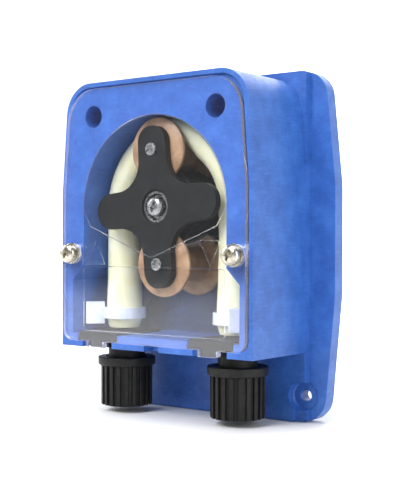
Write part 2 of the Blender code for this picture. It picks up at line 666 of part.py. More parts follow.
def gearbox_corners():
    """Places and names of the four gearmotor screws."""
    x = GEARBOX_HALF - GEARBOX_SCREW_INSET
    top = GEARBOX_TOP - GEARBOX_SCREW_INSET
    bottom = GEARBOX_BOTTOM + GEARBOX_SCREW_INSET
    return [(side * x, z, f"{height}_{label}")
            for height, z in (("top", top), ("bottom", bottom)) for side, label in SIDES]


def make_housing():
    """Casing and mounting plate in one moulding."""
    housing = as_mesh(slab("housing", [plate_outline()], PAD_FACE, PUMP_DEPTH, BLUE))
    for side, label in SIDES:
        edge, outside = sorted((side * CASE_HALF, side * (PLATE_HALF + OVERCUT)))
        cut(housing, block(f"cut_strip_{label}", (edge, PAD_FACE - OVERCUT, PLATE_BOTTOM - OVERCUT),
                           (outside, STRIP_FACE, PLATE_TOP + OVERCUT), None))
    join(housing, as_mesh(slab("join_case", [case_outline()], 0, PAD_FACE + OVERCUT, None)))

    recess = case_outline(LIP, FOOT_STEP, COVER_FOOT_CORNER)
    cut(housing,
        as_mesh(slab("cut_recess", [recess], -OVERCUT, BLOCK_FACE, None)),
        as_mesh(slab("cut_chamber", [chamber_outline()], BLOCK_FACE - OVERCUT, CHAMBER_BACK, None)),
        block("cut_lip_notch", (-NOTCH_HALF, -OVERCUT, CASE_BOTTOM - OVERCUT),
              (NOTCH_HALF, NOTCH_DEPTH, FOOT_STEP + OVERCUT), None))
    for side, label in SIDES:
        cut(housing, *hose_slot(side, label), *mounting_hole(side, label), *screw_bores(side, label))

    pocket = rounded(mirrored([
        (GEARBOX_HALF + GAP, GEARBOX_BOTTOM - GAP, GEARBOX_CORNER),
        (GEARBOX_HALF + GAP, GEARBOX_TOP + GAP, GEARBOX_CORNER),
    ]))
    cut(housing,
        as_mesh(slab("cut_gearbox_pocket", [pocket], POCKET_FACE, PUMP_DEPTH + OVERCUT, None)),
        drum("cut_shaft_hole", SEAL_RADIUS + GAP, CHAMBER_BACK - OVERCUT, POCKET_FACE + OVERCUT, None))
    for x, z, label in gearbox_corners():
        head, shank = FLAT_HEAD_RADIUS + GAP, SMALL_SHANK_RADIUS + GAP
        seat = CHAMBER_BACK + FLAT_HEAD + GAP
        cut(housing, turned(f"cut_gearmotor_screw_{label}", [
            (0, CHAMBER_BACK - OVERCUT), (head, CHAMBER_BACK - OVERCUT), (head, seat), (shank, seat),
            (shank, POCKET_FACE + OVERCUT), (0, POCKET_FACE + OVERCUT)],
            None, at=(x, 0, z), steps=SMALL_ROUND))


def make_cover():
    bore = SCREW_SHANK_RADIUS + GAP
    holes = [circle(side * COVER_SCREW_X, COVER_SCREW_Z, bore, MEDIUM_ROUND) for side, _ in SIDES]
    return slab("clear_cover", [cover_outline(), *holes], COVER_FRONT, COVER_BACK, CLEAR)


def pan_screw(name, seat, shank, look, parent, at=(0, 0, 0), height=HEAD_HEIGHT):
    """A pan-head screw whose head rests on the seat depth and whose shank runs back."""
    head = seat - height
    return turned(name, [
        (0, head), (HEAD_FLAT * HEAD_RADIUS, head), (HEAD_RADIUS, head + HEAD_DOME * height),
        (HEAD_RADIUS, seat),
        (SCREW_SHANK_RADIUS, seat), (SCREW_SHANK_RADIUS, seat + shank), (0, seat + shank)],
        look, parent, at, steps=SMALL_ROUND)


def make_cover_fasteners():
    """Each cover screw with its spring washer and flat washer, and its brass insert."""
    flat_front = COVER_FRONT - GAP - FLAT_WASHER
    spring_front = flat_front - GAP - SPRING_WASHER
    bore = SCREW_SHANK_RADIUS + GAP
    for side, label in SIDES:
        place = (side * COVER_SCREW_X, 0, COVER_SCREW_Z)
        screw_axis = empty(f"cover_screw_axis_{label}", PUMP_AXIS, place)
        pan_screw(f"cover_screw_{label}", spring_front - GAP, COVER_SCREW_LENGTH, ZINC, screw_axis)
        ring(f"flat_washer_{label}", FLAT_WASHER_RADIUS, bore, flat_front, flat_front + FLAT_WASHER,
             ZINC, screw_axis, steps=MEDIUM_ROUND)
        ring(f"spring_washer_{label}", SPRING_WASHER_RADIUS, bore, spring_front,
             spring_front + SPRING_WASHER, ZINC, screw_axis, steps=MEDIUM_ROUND)
        front = BLOCK_FACE + GAP
        ring(f"thread_insert_{label}", INSERT_RADIUS, bore, front, front + INSERT_LENGTH, BRASS,
             screw_axis, steps=SMALL_ROUND)


# --- hose, fittings and compression nuts --------------------------------------------------------

def smooth(t):
    t = max(0.0, min(1.0, t))
    return t * t * (3 - 2 * t)


def roller_reach(turn):
    """How far the roller core reaches from the rotor axis, at this angle from its pin."""
    aside = PIN_CIRCLE * math.sin(turn)
    if abs(aside) >= ROLLER_CORE_RADIUS:
        return 0.0
    return PIN_CIRCLE * math.cos(turn) + math.sqrt(ROLLER_CORE_RADIUS ** 2 - aside ** 2)


def hose_stations():
    """Cross-sections from the foot of the left leg over the track to the foot of the right
    leg: centre, direction away from the rotor axis, half thickness and half width."""
    pinch = math.pi / 2 - REST_TURN
    room = TRACK_RADIUS - GAP - HOSE_NIP_GAP
    thin = (room - roller_reach(0.0)) / 2
    recovery = HOSE_RECOVERY * HOSE_RADIUS / PIN_CIRCLE
    stations = []

    def leg(side, heights):
        for z in heights:
            swell = smooth((SPIGOT_TOP + HOSE_RELAX - z) / HOSE_RELAX)
            radius = HOSE_RADIUS + (HOSE_FOOT_RADIUS - HOSE_RADIUS) * swell
            stations.append(((side * HOSE_X, z), (side, 0.0), radius, radius))

    relaxed = SPIGOT_TOP + HOSE_RELAX
    heights = [HOSE_FOOT, SPIGOT_TOP, SPIGOT_TOP + HOSE_RELAX / 2, relaxed, HOSE_LEG_TOP]
    leg(-1, heights)
    for step in range(HOSE_ARCH_STEPS + 1):
        angle = math.pi * (1 - step / HOSE_ARCH_STEPS)
        free = smooth(abs(angle - pinch) / recovery)
        thick = min(thin + (HOSE_RADIUS - thin) * free, (room - roller_reach(angle - pinch)) / 2)
        wide = HOSE_RADIUS + (HOSE_FLAT_HALF - HOSE_RADIUS) * (1 - free)
        reach = TRACK_RADIUS - GAP - thick
        out = (math.cos(angle), math.sin(angle))
        stations.append(((reach * out[0], reach * out[1]), out, thick, wide))
    leg(1, reversed(heights))
    return stations, thin


def make_hose():
    """The hose is lofted through unlike sections, outside and inside, and is open at both ends."""
    stations, thin = hose_stations()
    shape = bmesh.new()
    outer, inner = [], []
    for (x, z), (out_x, out_z), thick, wide in stations:
        free = min(1.0, (thick - thin) / (HOSE_RADIUS - thin))
        bore = HOSE_SLIT + (HOSE_BORE - HOSE_SLIT) * free
        bore_wide = HOSE_BORE + (wide - HOSE_RADIUS if free < 1 else 0)
        for rings, out_half, wide_half in ((outer, thick, wide), (inner, bore, bore_wide)):
            section = []
            for i in range(HOSE_SIDES):
                turn = 2 * math.pi * (i + 0.5) / HOSE_SIDES
                out = out_half * math.cos(turn)
                depth = HOSE_DEPTH + wide_half * math.sin(turn)
                section.append(shape.verts.new((x + out_x * out, depth, z + out_z * out)))
            rings.append(section)

    def skin(one, two):
        for i in range(HOSE_SIDES):
            j = (i + 1) % HOSE_SIDES
            shape.faces.new((one[i], one[j], two[j], two[i]))

    for rings in (outer, inner):
        for one, two in zip(rings, rings[1:]):
            skin(one, two)
    skin(outer[0], inner[0])
    skin(outer[-1], inner[-1])
    bmesh.ops.recalc_face_normals(shape, faces=shape.faces)
    mesh = bpy.data.meshes.new("pump_hose")
    shape.to_mesh(mesh)
    shape.free()
    return put("pump_hose", mesh, CREAM, PUMP_AXIS)


def make_tie(side, label):
    """A cable tie: its band round the hose and its head turned to one side."""
    tie_axis = empty(f"hose_tie_axis_{label}", PUMP_AXIS, (side * HOSE_X, HOSE_DEPTH, TIE_Z))
    tie_axis.rotation_euler = (0, 0, math.radians(TIE_HEAD_TURN[label]))
    inner = HOSE_FOOT_RADIUS + GAP
    band = ring(f"hose_tie_{label}", inner + TIE_THICKNESS, inner, TIE_WIDTH / 2, -TIE_WIDTH / 2,
                WHITE, tie_axis, axis="Z", steps=MEDIUM_ROUND)
    root = inner + TIE_THICKNESS / 2
    reach, half = TIE_HEAD_REACH[label], TIE_HEAD_WIDTH[label] / 2
    join(band, block(f"join_tie_head_{label}", (root, -half, -TIE_HEAD / 2),
                     (root + reach, half, TIE_HEAD / 2), None, tie_axis))


def make_fitting(side, name):
    """A hose fitting: inner spigot, rectangular collar with a tongue behind the cover's tab,
    neck, thread and outer spigot."""
    x = side * HOSE_X
    at = (x, HOSE_DEPTH, 0)
    spigot = HOSE_BORE - SPIGOT_PLAY
    thread = NUT_THREAD_RADIUS - GAP
    thread_end = NUT_TOP - NUT_THREAD_LENGTH
    body = turned(name, [
        (spigot, SPIGOT_TOP), (spigot, COLLAR_TOP - OVERCUT), (NECK_RADIUS, COLLAR_TOP - OVERCUT),
        (NECK_RADIUS, NUT_TOP + NECK_SLOPE_TOP), (thread, NUT_TOP - NECK_SLOPE_FOOT),
        (thread, thread_end),
        (OUTER_SPIGOT_RADIUS, thread_end), (OUTER_SPIGOT_RADIUS, OUTER_SPIGOT_END),
        (FLOW_BORE, OUTER_SPIGOT_END), (FLOW_BORE, SPIGOT_TOP)],
        BLACK, at=at, axis="Z", steps=MEDIUM_ROUND)
    back = HOSE_DEPTH + COLLAR_HALF
    plate = [(x - COLLAR_HALF, COLLAR_FRONT), (x + COLLAR_HALF, COLLAR_FRONT),
             (x + COLLAR_HALF, back), (x - COLLAR_HALF, back)]
    hole = circle(x, HOSE_DEPTH, FLOW_BORE + SPIGOT_PLAY)
    collar = slab(f"join_collar_{name}", [plate, hole], COLLAR_BOTTOM, COLLAR_TOP, None, flat=True)
    tongue = block(f"join_tongue_{name}", (x - TAB_HALF, COLLAR_FRONT, TAB_BOTTOM),
                   (x + TAB_HALF, HOSE_DEPTH, COLLAR_BOTTOM + OVERCUT), None)
    join(body, as_mesh(collar), tongue)


def make_nut(side, label):
    """A compression nut and the ferrule that it presses on the outer hose."""
    at = (side * HOSE_X, HOSE_DEPTH, 0)
    cone_bottom = NUT_BOTTOM + NUT_MOUTH
    cone_top = cone_bottom + NUT_CONE
    under = NUT_TOP - NUT_FLANGE
    turned(f"compression_nut_{label}", [
        (NUT_FLANGE_RADIUS, NUT_TOP), (NUT_FLANGE_RADIUS, under), (NUT_RADIUS, under),
        (NUT_RADIUS - NUT_DRAFT, NUT_BOTTOM + NUT_FOOT), (NUT_RADIUS - NUT_FOOT_SLOPE, NUT_BOTTOM),
        (NUT_MOUTH_RADIUS, NUT_BOTTOM), (NUT_MOUTH_RADIUS, cone_bottom),
        (NUT_THREAD_RADIUS, cone_top), (NUT_THREAD_RADIUS, NUT_TOP)],
        BLACK, at=at, axis="Z")
    outer = NUT_THREAD_RADIUS - GAP
    foot = cone_top + GAP
    ring(f"ferrule_{label}", outer, OUTER_SPIGOT_RADIUS + FERRULE_ROOM, foot + FERRULE_LENGTH, foot,
         WHITE, at=at, axis="Z", steps=MEDIUM_ROUND)


# --- rotor ------------------------------------------------------------------------------------------

def make_spider(name, face, outward):
    """Outward is -1 for the front spider and 1 for the rear one.  The bearing sits in a hub
    on the inner side, a little below the outer face."""
    inner = face - outward * SPIDER_THICKNESS
    hub_end = inner - outward * SPIDER_HUB
    seat = face - outward * (BEARING_SINK + BEARING_WIDTH + GAP)
    holes = [circle(0, end * PIN_CIRCLE, PIN_RADIUS + GAP, MEDIUM_ROUND) for end, _ in ENDS]
    low, high = sorted((face, inner))
    spider = as_mesh(slab(name, [spider_outline(), *holes], low, high, BLACK, ROTOR_AXIS))
    low, high = sorted((hub_end, inner + outward * OVERCUT))
    join(spider, drum(f"join_hub_{name}", SPIDER_HUB_RADIUS, low, high, None, ROTOR_AXIS))
    low, high = sorted((seat, face + outward * OVERCUT))
    cut(spider, drum(f"cut_bearing_{name}", BEARING_RADIUS + GAP, low, high, None, ROTOR_AXIS))
    low, high = sorted((seat + outward * OVERCUT, hub_end - outward * OVERCUT))
    cut(spider, drum(f"cut_hub_bore_{name}", BEARING_RADIUS - BEARING_RACE, low, high, None, ROTOR_AXIS))


def make_bearing(label, front, bore):
    """A ball bearing: the outer ring turns with the rotor and the inner ring with the shaft."""
    back = front + BEARING_WIDTH
    ring(f"{label}_bearing_outer_ring", BEARING_RADIUS, BEARING_RADIUS - BEARING_RACE, front, back,
         STEEL, ROTOR_AXIS, steps=MEDIUM_ROUND)
    inner = bore + GAP
    ring(f"{label}_bearing_inner_ring", inner + BEARING_RACE, inner, front, back, STEEL, DRIVE_AXIS,
         steps=MEDIUM_ROUND)


def make_ball_cage():
    """The balls of the front bearing in one thin cage that runs between the rings."""
    inner = SCREW_SHANK_RADIUS + GAP + BEARING_RACE
    outer = BEARING_RADIUS - BEARING_RACE
    middle = (inner + outer) / 2
    centre = (BEARING_FRONT + BEARING_BACK) / 2
    cage_axis = empty("ball_cage_axis", PUMP_AXIS)
    cage = ring("front_bearing_ball_cage", middle + CAGE_HALF, middle - CAGE_HALF,
                centre - CAGE_HALF, centre + CAGE_HALF, STEEL, cage_axis, steps=CAGE_SIDES)
    for i in range(BALL_COUNT):
        turn = 2 * math.pi * i / BALL_COUNT
        mesh = bpy.data.meshes.new(f"join_ball_{i}")
        shape = bmesh.new()
        bmesh.ops.create_uvsphere(shape, u_segments=BALL_SIDES, v_segments=BALL_RINGS,
                                  radius=(outer - inner) / 2 - GAP)
        shape.to_mesh(mesh)
        shape.free()
        place = (middle * math.cos(turn), centre, middle * math.sin(turn))
        join(cage, put(f"join_ball_{i}", mesh, None, cage_axis, place))


def make_roller(end, label):
    """A flanged roller on its pin."""
    roller_axis = empty(f"roller_axis_{label}", ROTOR_AXIS, (0, 0, end * PIN_CIRCLE))
    bore = PIN_RADIUS + GAP
    front, back = ROLLER_FRONT, ROLLER_BACK
    turned(f"roller_{label}", [
        (ROLLER_FLANGE_RADIUS, front), (ROLLER_FLANGE_RADIUS, front + ROLLER_FLANGE),
        (ROLLER_CORE_RADIUS, front + ROLLER_FLANGE), (ROLLER_CORE_RADIUS, back - ROLLER_FLANGE),
        (ROLLER_FLANGE_RADIUS, back - ROLLER_FLANGE), (ROLLER_FLANGE_RADIUS, back), (bore, back),
        (bore, front)], TAN, roller_axis)
    drum(f"roller_pin_{label}", PIN_RADIUS, SPIDER_FACE - PIN_PROUD, SPIDER_BACK + PIN_PROUD, STEEL,
         roller_axis, steps=MEDIUM_ROUND)


def make_rotor():
    make_spider("front_spider", SPIDER_FACE, -1)
    make_spider("rear_spider", SPIDER_BACK, 1)
    for side, label in SIDES:
        drum(f"spacer_post_{label}", POST_RADIUS, SPIDER_FACE + SPIDER_THICKNESS + GAP,
             SPIDER_BACK - SPIDER_THICKNESS - GAP, STEEL, ROTOR_AXIS, (side * POST_CIRCLE, 0, 0),
             steps=SMALL_ROUND)
    for end, label in ENDS:
        make_roller(end, label)
    make_bearing("front", BEARING_FRONT, SCREW_SHANK_RADIUS)
    make_bearing("rear", SPIDER_BACK - BEARING_SINK - BEARING_WIDTH, SHAFT_RADIUS)
    make_ball_cage()


# --- gearmotor ------------------------------------------------------------------------------------------

def make_drive():
    """The shaft with its friction wheel and gear, clamped to the front bearing by a screw."""
    front = BEARING_BACK + GAP
    back = LID_BACK - GAP
    thread = SCREW_SHANK_RADIUS + GAP
    turned("drive_shaft", [
        (0, front + SHAFT_THREAD_DEPTH), (thread, front + SHAFT_THREAD_DEPTH), (thread, front),
        (SHAFT_RADIUS, front), (SHAFT_RADIUS, back), (0, back)], STEEL, DRIVE_AXIS, steps=MEDIUM_ROUND)
    pan_screw("shaft_screw", BEARING_FRONT - GAP, SHAFT_SCREW_LENGTH, STEEL, DRIVE_AXIS,
              height=SHAFT_SCREW_HEAD)
    bore = SHAFT_RADIUS + GAP
    ring("friction_wheel", WHEEL_RADIUS, bore, HOSE_DEPTH - WHEEL_WIDTH / 2,
         HOSE_DEPTH + WHEEL_WIDTH / 2, RUBBER, DRIVE_AXIS)
    slab("output_gear", [gear_outline(GEAR_TEETH), circle(0, 0, bore, MEDIUM_ROUND)],
         GEAR_FRONT, GEAR_FRONT + GEAR_WIDTH, WHITE, DRIVE_AXIS)
    ring("shaft_seal", SEAL_RADIUS, bore, CHAMBER_BACK + GAP, POCKET_FACE, RUBBER,
         steps=MEDIUM_ROUND)
    ring("front_shaft_bush", SHAFT_BUSH_RADIUS, bore, GEARBOX_FRONT + GAP,
         GEARBOX_FRONT + GEARBOX_WALL + GAP, BRASS, steps=MEDIUM_ROUND)
    ring("rear_shaft_bush", SHAFT_BUSH_RADIUS, bore, LID_FRONT, LID_BACK, BRASS, steps=MEDIUM_ROUND)


def make_gearbox():
    """The gearbox case is a cup open at the back, closed by a lid that carries the motor."""
    outline = rounded(mirrored([
        (GEARBOX_HALF, GEARBOX_BOTTOM, GEARBOX_CORNER), (GEARBOX_HALF, GEARBOX_TOP, GEARBOX_CORNER)]))
    screws = [circle(x, z, SMALL_SHANK_RADIUS + GAP) for x, z, _ in gearbox_corners()]
    bush = circle(0, 0, SHAFT_BUSH_RADIUS + GAP, MEDIUM_ROUND)
    case = as_mesh(slab("gearbox_case", [outline, bush, *screws], GEARBOX_FRONT, GEARBOX_BACK, CAST))
    inside = GEARBOX_FRONT + GEARBOX_WALL
    cut(case,
        drum("cut_gear_room", GEAR_TIP_RADIUS + GEAR_ROOM, inside, GEARBOX_BACK + OVERCUT, None),
        drum("cut_pinion_room", PINION_TIP_RADIUS + GEAR_ROOM, inside, GEARBOX_BACK + OVERCUT, None,
             at=(0, 0, -MOTOR_DROP), steps=MEDIUM_ROUND))
    boss = circle(0, -MOTOR_DROP, MOTOR_BOSS_RADIUS + GAP, MEDIUM_ROUND)
    slab("gearbox_lid", [outline, bush, boss, *screws], LID_FRONT, LID_BACK, CAST)
    for x, z, label in gearbox_corners():
        head = CHAMBER_BACK + GAP
        turned(f"gearmotor_screw_{label}", [
            (0, head), (FLAT_HEAD_RADIUS, head), (SMALL_SHANK_RADIUS, head + FLAT_HEAD),
            (SMALL_SHANK_RADIUS, LID_BACK), (0, LID_BACK)], STEEL, at=(x, 0, z), steps=SMALL_ROUND)


def make_motor():
    """The motor's can with its boss in the gearbox lid, its shaft and pinion, end cap and terminals."""
    at = (0, 0, -MOTOR_DROP)
    bore = MOTOR_SHAFT_RADIUS + GAP
    shaft_end = MOTOR_FRONT + MOTOR_SHAFT_BITE
    turned("motor_can", [
        (0, shaft_end + GAP), (bore, shaft_end + GAP), (bore, LID_FRONT + GAP),
        (MOTOR_BOSS_RADIUS, LID_FRONT + GAP), (MOTOR_BOSS_RADIUS, MOTOR_FRONT),
        (MOTOR_RADIUS, MOTOR_FRONT), (MOTOR_RADIUS, MOTOR_BACK), (0, MOTOR_BACK)], STEEL, at=at)
    drum("motor_end_cap", MOTOR_RADIUS, CAP_FRONT, CAP_BACK, BLACK, at=at)
    root = CAP_BACK + GAP
    for side, label in SIDES:
        x = side * TERMINAL_X
        low = (x - TERMINAL_HALF_THICKNESS, root, -MOTOR_DROP - TERMINAL_HALF_WIDTH)
        high = (x + TERMINAL_HALF_THICKNESS, root + TERMINAL_LENGTH, -MOTOR_DROP + TERMINAL_HALF_WIDTH)
        block(f"motor_terminal_{label}", low, high, BRASS)
    front = GEAR_FRONT - PINION_EXTRA
    drum("motor_shaft", MOTOR_SHAFT_RADIUS, front - GAP, shaft_end, STEEL, MOTOR_AXIS,
         steps=SMALL_ROUND)
    slab("motor_pinion", [gear_outline(PINION_TEETH), circle(0, 0, bore)], front,
         GEAR_FRONT + GEAR_WIDTH + PINION_EXTRA, BRASS, MOTOR_AXIS)


# --- rear housing -----------------------------------------------------------------------------------------

def rear_outline(inset=0.0):
    return rounded(mirrored([
        (REAR_HALF - inset, REAR_BOTTOM + inset, REAR_CORNER - inset),
        (REAR_HALF - inset, REAR_TOP - inset, REAR_CORNER - inset),
    ]))


def dome_outline(inset=0.0):
    return rounded(mirrored([
        (DOME_HALF - inset, REAR_BOTTOM + inset, DOME_CORNER - inset),
        (DOME_HALF - inset, DOME_TOP - inset, DOME_CORNER - inset),
    ]))


def make_rear_housing():
    """A cup over the gearbox with a narrower dome over the motor.  Two long screws hold it
    from the front and two from behind."""
    cup = as_mesh(slab("motor_housing", [rear_outline()], REAR_FRONT, SHOULDER, REAR_BLACK))
    join(cup, as_mesh(slab("join_dome", [dome_outline()], SHOULDER - OVERCUT, REAR_BACK, None)))
    inside_back = SHOULDER - REAR_WALL
    cut(cup,
        as_mesh(slab("cut_cup", [rear_outline(REAR_WALL)], REAR_FRONT - OVERCUT, inside_back, None)),
        as_mesh(slab("cut_dome", [dome_outline(REAR_WALL)], inside_back - OVERCUT,
                     REAR_BACK - REAR_WALL, None)))
    for side, label in SIDES:
        top = (side * LONG_SCREW_X, 0, LONG_SCREW_Z)
        bottom = (side * REAR_SCREW_X, 0, REAR_SCREW_Z)
        join(cup,
             drum(f"join_top_boss_{label}", TOP_BOSS_RADIUS, REAR_FRONT + GAP,
                  REAR_FRONT + TOP_BOSS_LENGTH, None, at=top, steps=MEDIUM_ROUND),
             drum(f"join_rear_boss_{label}", REAR_BOSS_RADIUS, REAR_FRONT + GAP,
                  inside_back + OVERCUT, None, at=bottom, steps=MEDIUM_ROUND))
        head = REAR_HEAD_RADIUS + 2 * GAP
        shank = SMALL_SHANK_RADIUS + GAP
        seat = REAR_FRONT + REAR_SCREW_SEAT
        cut(cup,
            drum(f"cut_top_boss_{label}", SCREW_SHANK_RADIUS + GAP, REAR_FRONT - OVERCUT,
                 REAR_FRONT + LONG_SCREW_BITE + 2 * GAP, None, at=top, steps=SMALL_ROUND),
            turned(f"cut_rear_boss_{label}", [
                (0, REAR_FRONT - OVERCUT), (shank, REAR_FRONT - OVERCUT), (shank, seat), (head, seat),
                (head, SHOULDER + OVERCUT), (0, SHOULDER + OVERCUT)],
                None, at=bottom, steps=SMALL_ROUND))
        well_floor = LONG_SCREW_WELL - GAP
        long_shank = REAR_FRONT + LONG_SCREW_BITE - well_floor
        pan_screw(f"long_screw_{label}", well_floor, long_shank, STEEL, PUMP_AXIS, top)
        turned(f"rear_screw_{label}", [
            (0, PUMP_DEPTH - REAR_SCREW_BITE), (SMALL_SHANK_RADIUS, PUMP_DEPTH - REAR_SCREW_BITE),
            (SMALL_SHANK_RADIUS, seat + GAP), (REAR_HEAD_RADIUS, seat + GAP),
            (REAR_HEAD_RADIUS, seat + GAP + REAR_HEAD), (0, seat + GAP + REAR_HEAD)],
            STEEL, at=bottom, steps=SMALL_ROUND)
    cut(cup, drum("cut_gland_hole", GLAND_THREAD_RADIUS + GAP, -DOME_HALF - OVERCUT,
                  -DOME_HALF + 2 * REAR_WALL, None, at=(0, GLAND_DEPTH, GLAND_Z), axis="X",
                  steps=MEDIUM_ROUND))
    slab("housing_gasket", [rear_outline(), rear_outline(REAR_WALL)],
         GASKET_FRONT, GASKET_FRONT + GASKET, RUBBER)


def make_gland():
    """The cable gland in the dome's left wall: a hexagonal body with a threaded stub on each side, and its nut."""
    at = (0, GLAND_DEPTH, GLAND_Z)
    wall = -DOME_HALF - GAP
    outer_face = wall - GLAND_BODY
    bore = GLAND_BORE + GLAND_BORE_PLAY
    stub_out = outer_face - GLAND_STUB
    stub_in = -DOME_HALF + REAR_WALL + GLAND_STUB
    body = ring("cable_gland_body", GLAND_HEX_RADIUS, GLAND_BORE, outer_face, wall, REAR_BLACK,
                at=at, axis="X", steps=GLAND_HEX_SIDES)
    join(body, ring("join_gland_stub", GLAND_THREAD_RADIUS, bore, stub_out, stub_in, None,
                    at=at, axis="X", steps=MEDIUM_ROUND))
    cut(body, drum("cut_gland_bore", bore, stub_out - OVERCUT, stub_in + OVERCUT, None,
                   at=at, axis="X", steps=MEDIUM_ROUND))
    nut_in = outer_face - GAP
    nut_out = nut_in - GLAND_NUT
    thread = GLAND_THREAD_RADIUS + GAP
    turned("cable_gland_nut", [
        (GLAND_NUT_MOUTH, nut_out), (GLAND_NUT_SHOULDER, nut_out + GLAND_NUT_TAPER),
        (GLAND_NUT_ROOT, nut_in), (thread, nut_in), (thread, nut_in - GLAND_STUB - GAP),
        (GLAND_BORE, nut_in - GLAND_STUB - GAP), (GLAND_BORE, nut_out)],
        REAR_BLACK, at=at, axis="X", steps=MEDIUM_ROUND)


make_housing()
make_cover()
make_cover_fasteners()
make_hose()
for side, label in SIDES:
    make_tie(side, label)
    make_nut(side, label)
make_fitting(-1, "inlet_fitting")
make_fitting(1, "outlet_fitting")
make_rotor()
make_drive()
make_gearbox()
make_motor()
make_rear_housing()
make_gland()
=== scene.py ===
"""The looks of a panel-mounted hose pump with a clear cover.

Lengths are in millimetres in the code below and are made metres by spot().
A place is given as x, depth behind the casing's front rim, and height above
the rotor's axis.
"""

import json
import math

import bmesh
import bpy
from mathutils import Matrix, Vector


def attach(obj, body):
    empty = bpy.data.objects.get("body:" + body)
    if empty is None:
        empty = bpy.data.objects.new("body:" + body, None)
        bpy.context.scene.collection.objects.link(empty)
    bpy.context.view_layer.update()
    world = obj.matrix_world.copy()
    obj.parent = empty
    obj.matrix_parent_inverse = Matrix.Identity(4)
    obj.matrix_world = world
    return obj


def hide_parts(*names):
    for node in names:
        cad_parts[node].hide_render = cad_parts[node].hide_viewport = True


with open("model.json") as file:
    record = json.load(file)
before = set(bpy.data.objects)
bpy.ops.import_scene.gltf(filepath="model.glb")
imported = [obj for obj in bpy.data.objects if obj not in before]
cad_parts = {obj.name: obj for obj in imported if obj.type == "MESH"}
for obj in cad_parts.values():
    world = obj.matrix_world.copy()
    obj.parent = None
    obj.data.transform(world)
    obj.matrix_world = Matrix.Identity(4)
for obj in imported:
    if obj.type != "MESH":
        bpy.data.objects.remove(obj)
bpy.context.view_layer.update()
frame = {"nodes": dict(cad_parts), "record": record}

MM = 0.001
RIM = -0.047                 # y of the casing's front rim
AXIS = 0.0771                # z of the rotor's axis
SIDES = ((-1, "left"), (1, "right"))
SWING = math.radians(-4.0)   # the rotor stands this far off upright

# Sizes shared by several pieces, in millimetres.
CASE_HALF, CASE_FOOT = 50.0, -59.1
LIP_WALL, LIP_FOOT = 1.9, -56.7     # the rim's wall, and the top of its lip under the cover
BLOCK_FACE = 1.5                    # depth of the casing's face behind the cover
PAD_FACE, STRIP_FACE, WALL = 37.5, 41.0, 47.0     # depths of the mounting plate's faces
TRACK_RADIUS = 37.5
HOSE_X, HOSE_DEPTH = 29.65, 19.15
SCREW_X, SCREW_Z = 42.55, -19.3     # the cover's screws
HOLE_X, HOLE_Z = 48.2, -77.1        # the mounting holes
COVER_FRONT, COVER_BACK = -1.8, 1.2
MARK_DEPTH = 1.12                   # the lines moulded on the cover's back
PIN_CIRCLE = 23.5                   # rotor's axis to the roller pins
SPIDER_FRONT, SPIDER_BACK, SPIDER_THICKNESS = 3.3, 35.0, 3.3
NUT_SIDES, RIB_COUNT = 120, 20


def spot(x, depth, z):
    return Vector((x * MM, RIM + depth * MM, AXIS + z * MM))


def swung(x, z):
    """A place on the rotor, turned with it."""
    return (x * math.cos(SWING) + z * math.sin(SWING), -x * math.sin(SWING) + z * math.cos(SWING))


# --- finishes ---------------------------------------------------------------------------

def paint(red, green, blue):
    """A colour as on a paint card, 0 to 255, made linear."""
    return tuple(((c / 255 + 0.055) / 1.055) ** 2.4 if c > 10 else c / 255 / 12.92
                 for c in (red, green, blue)) + (1.0,)


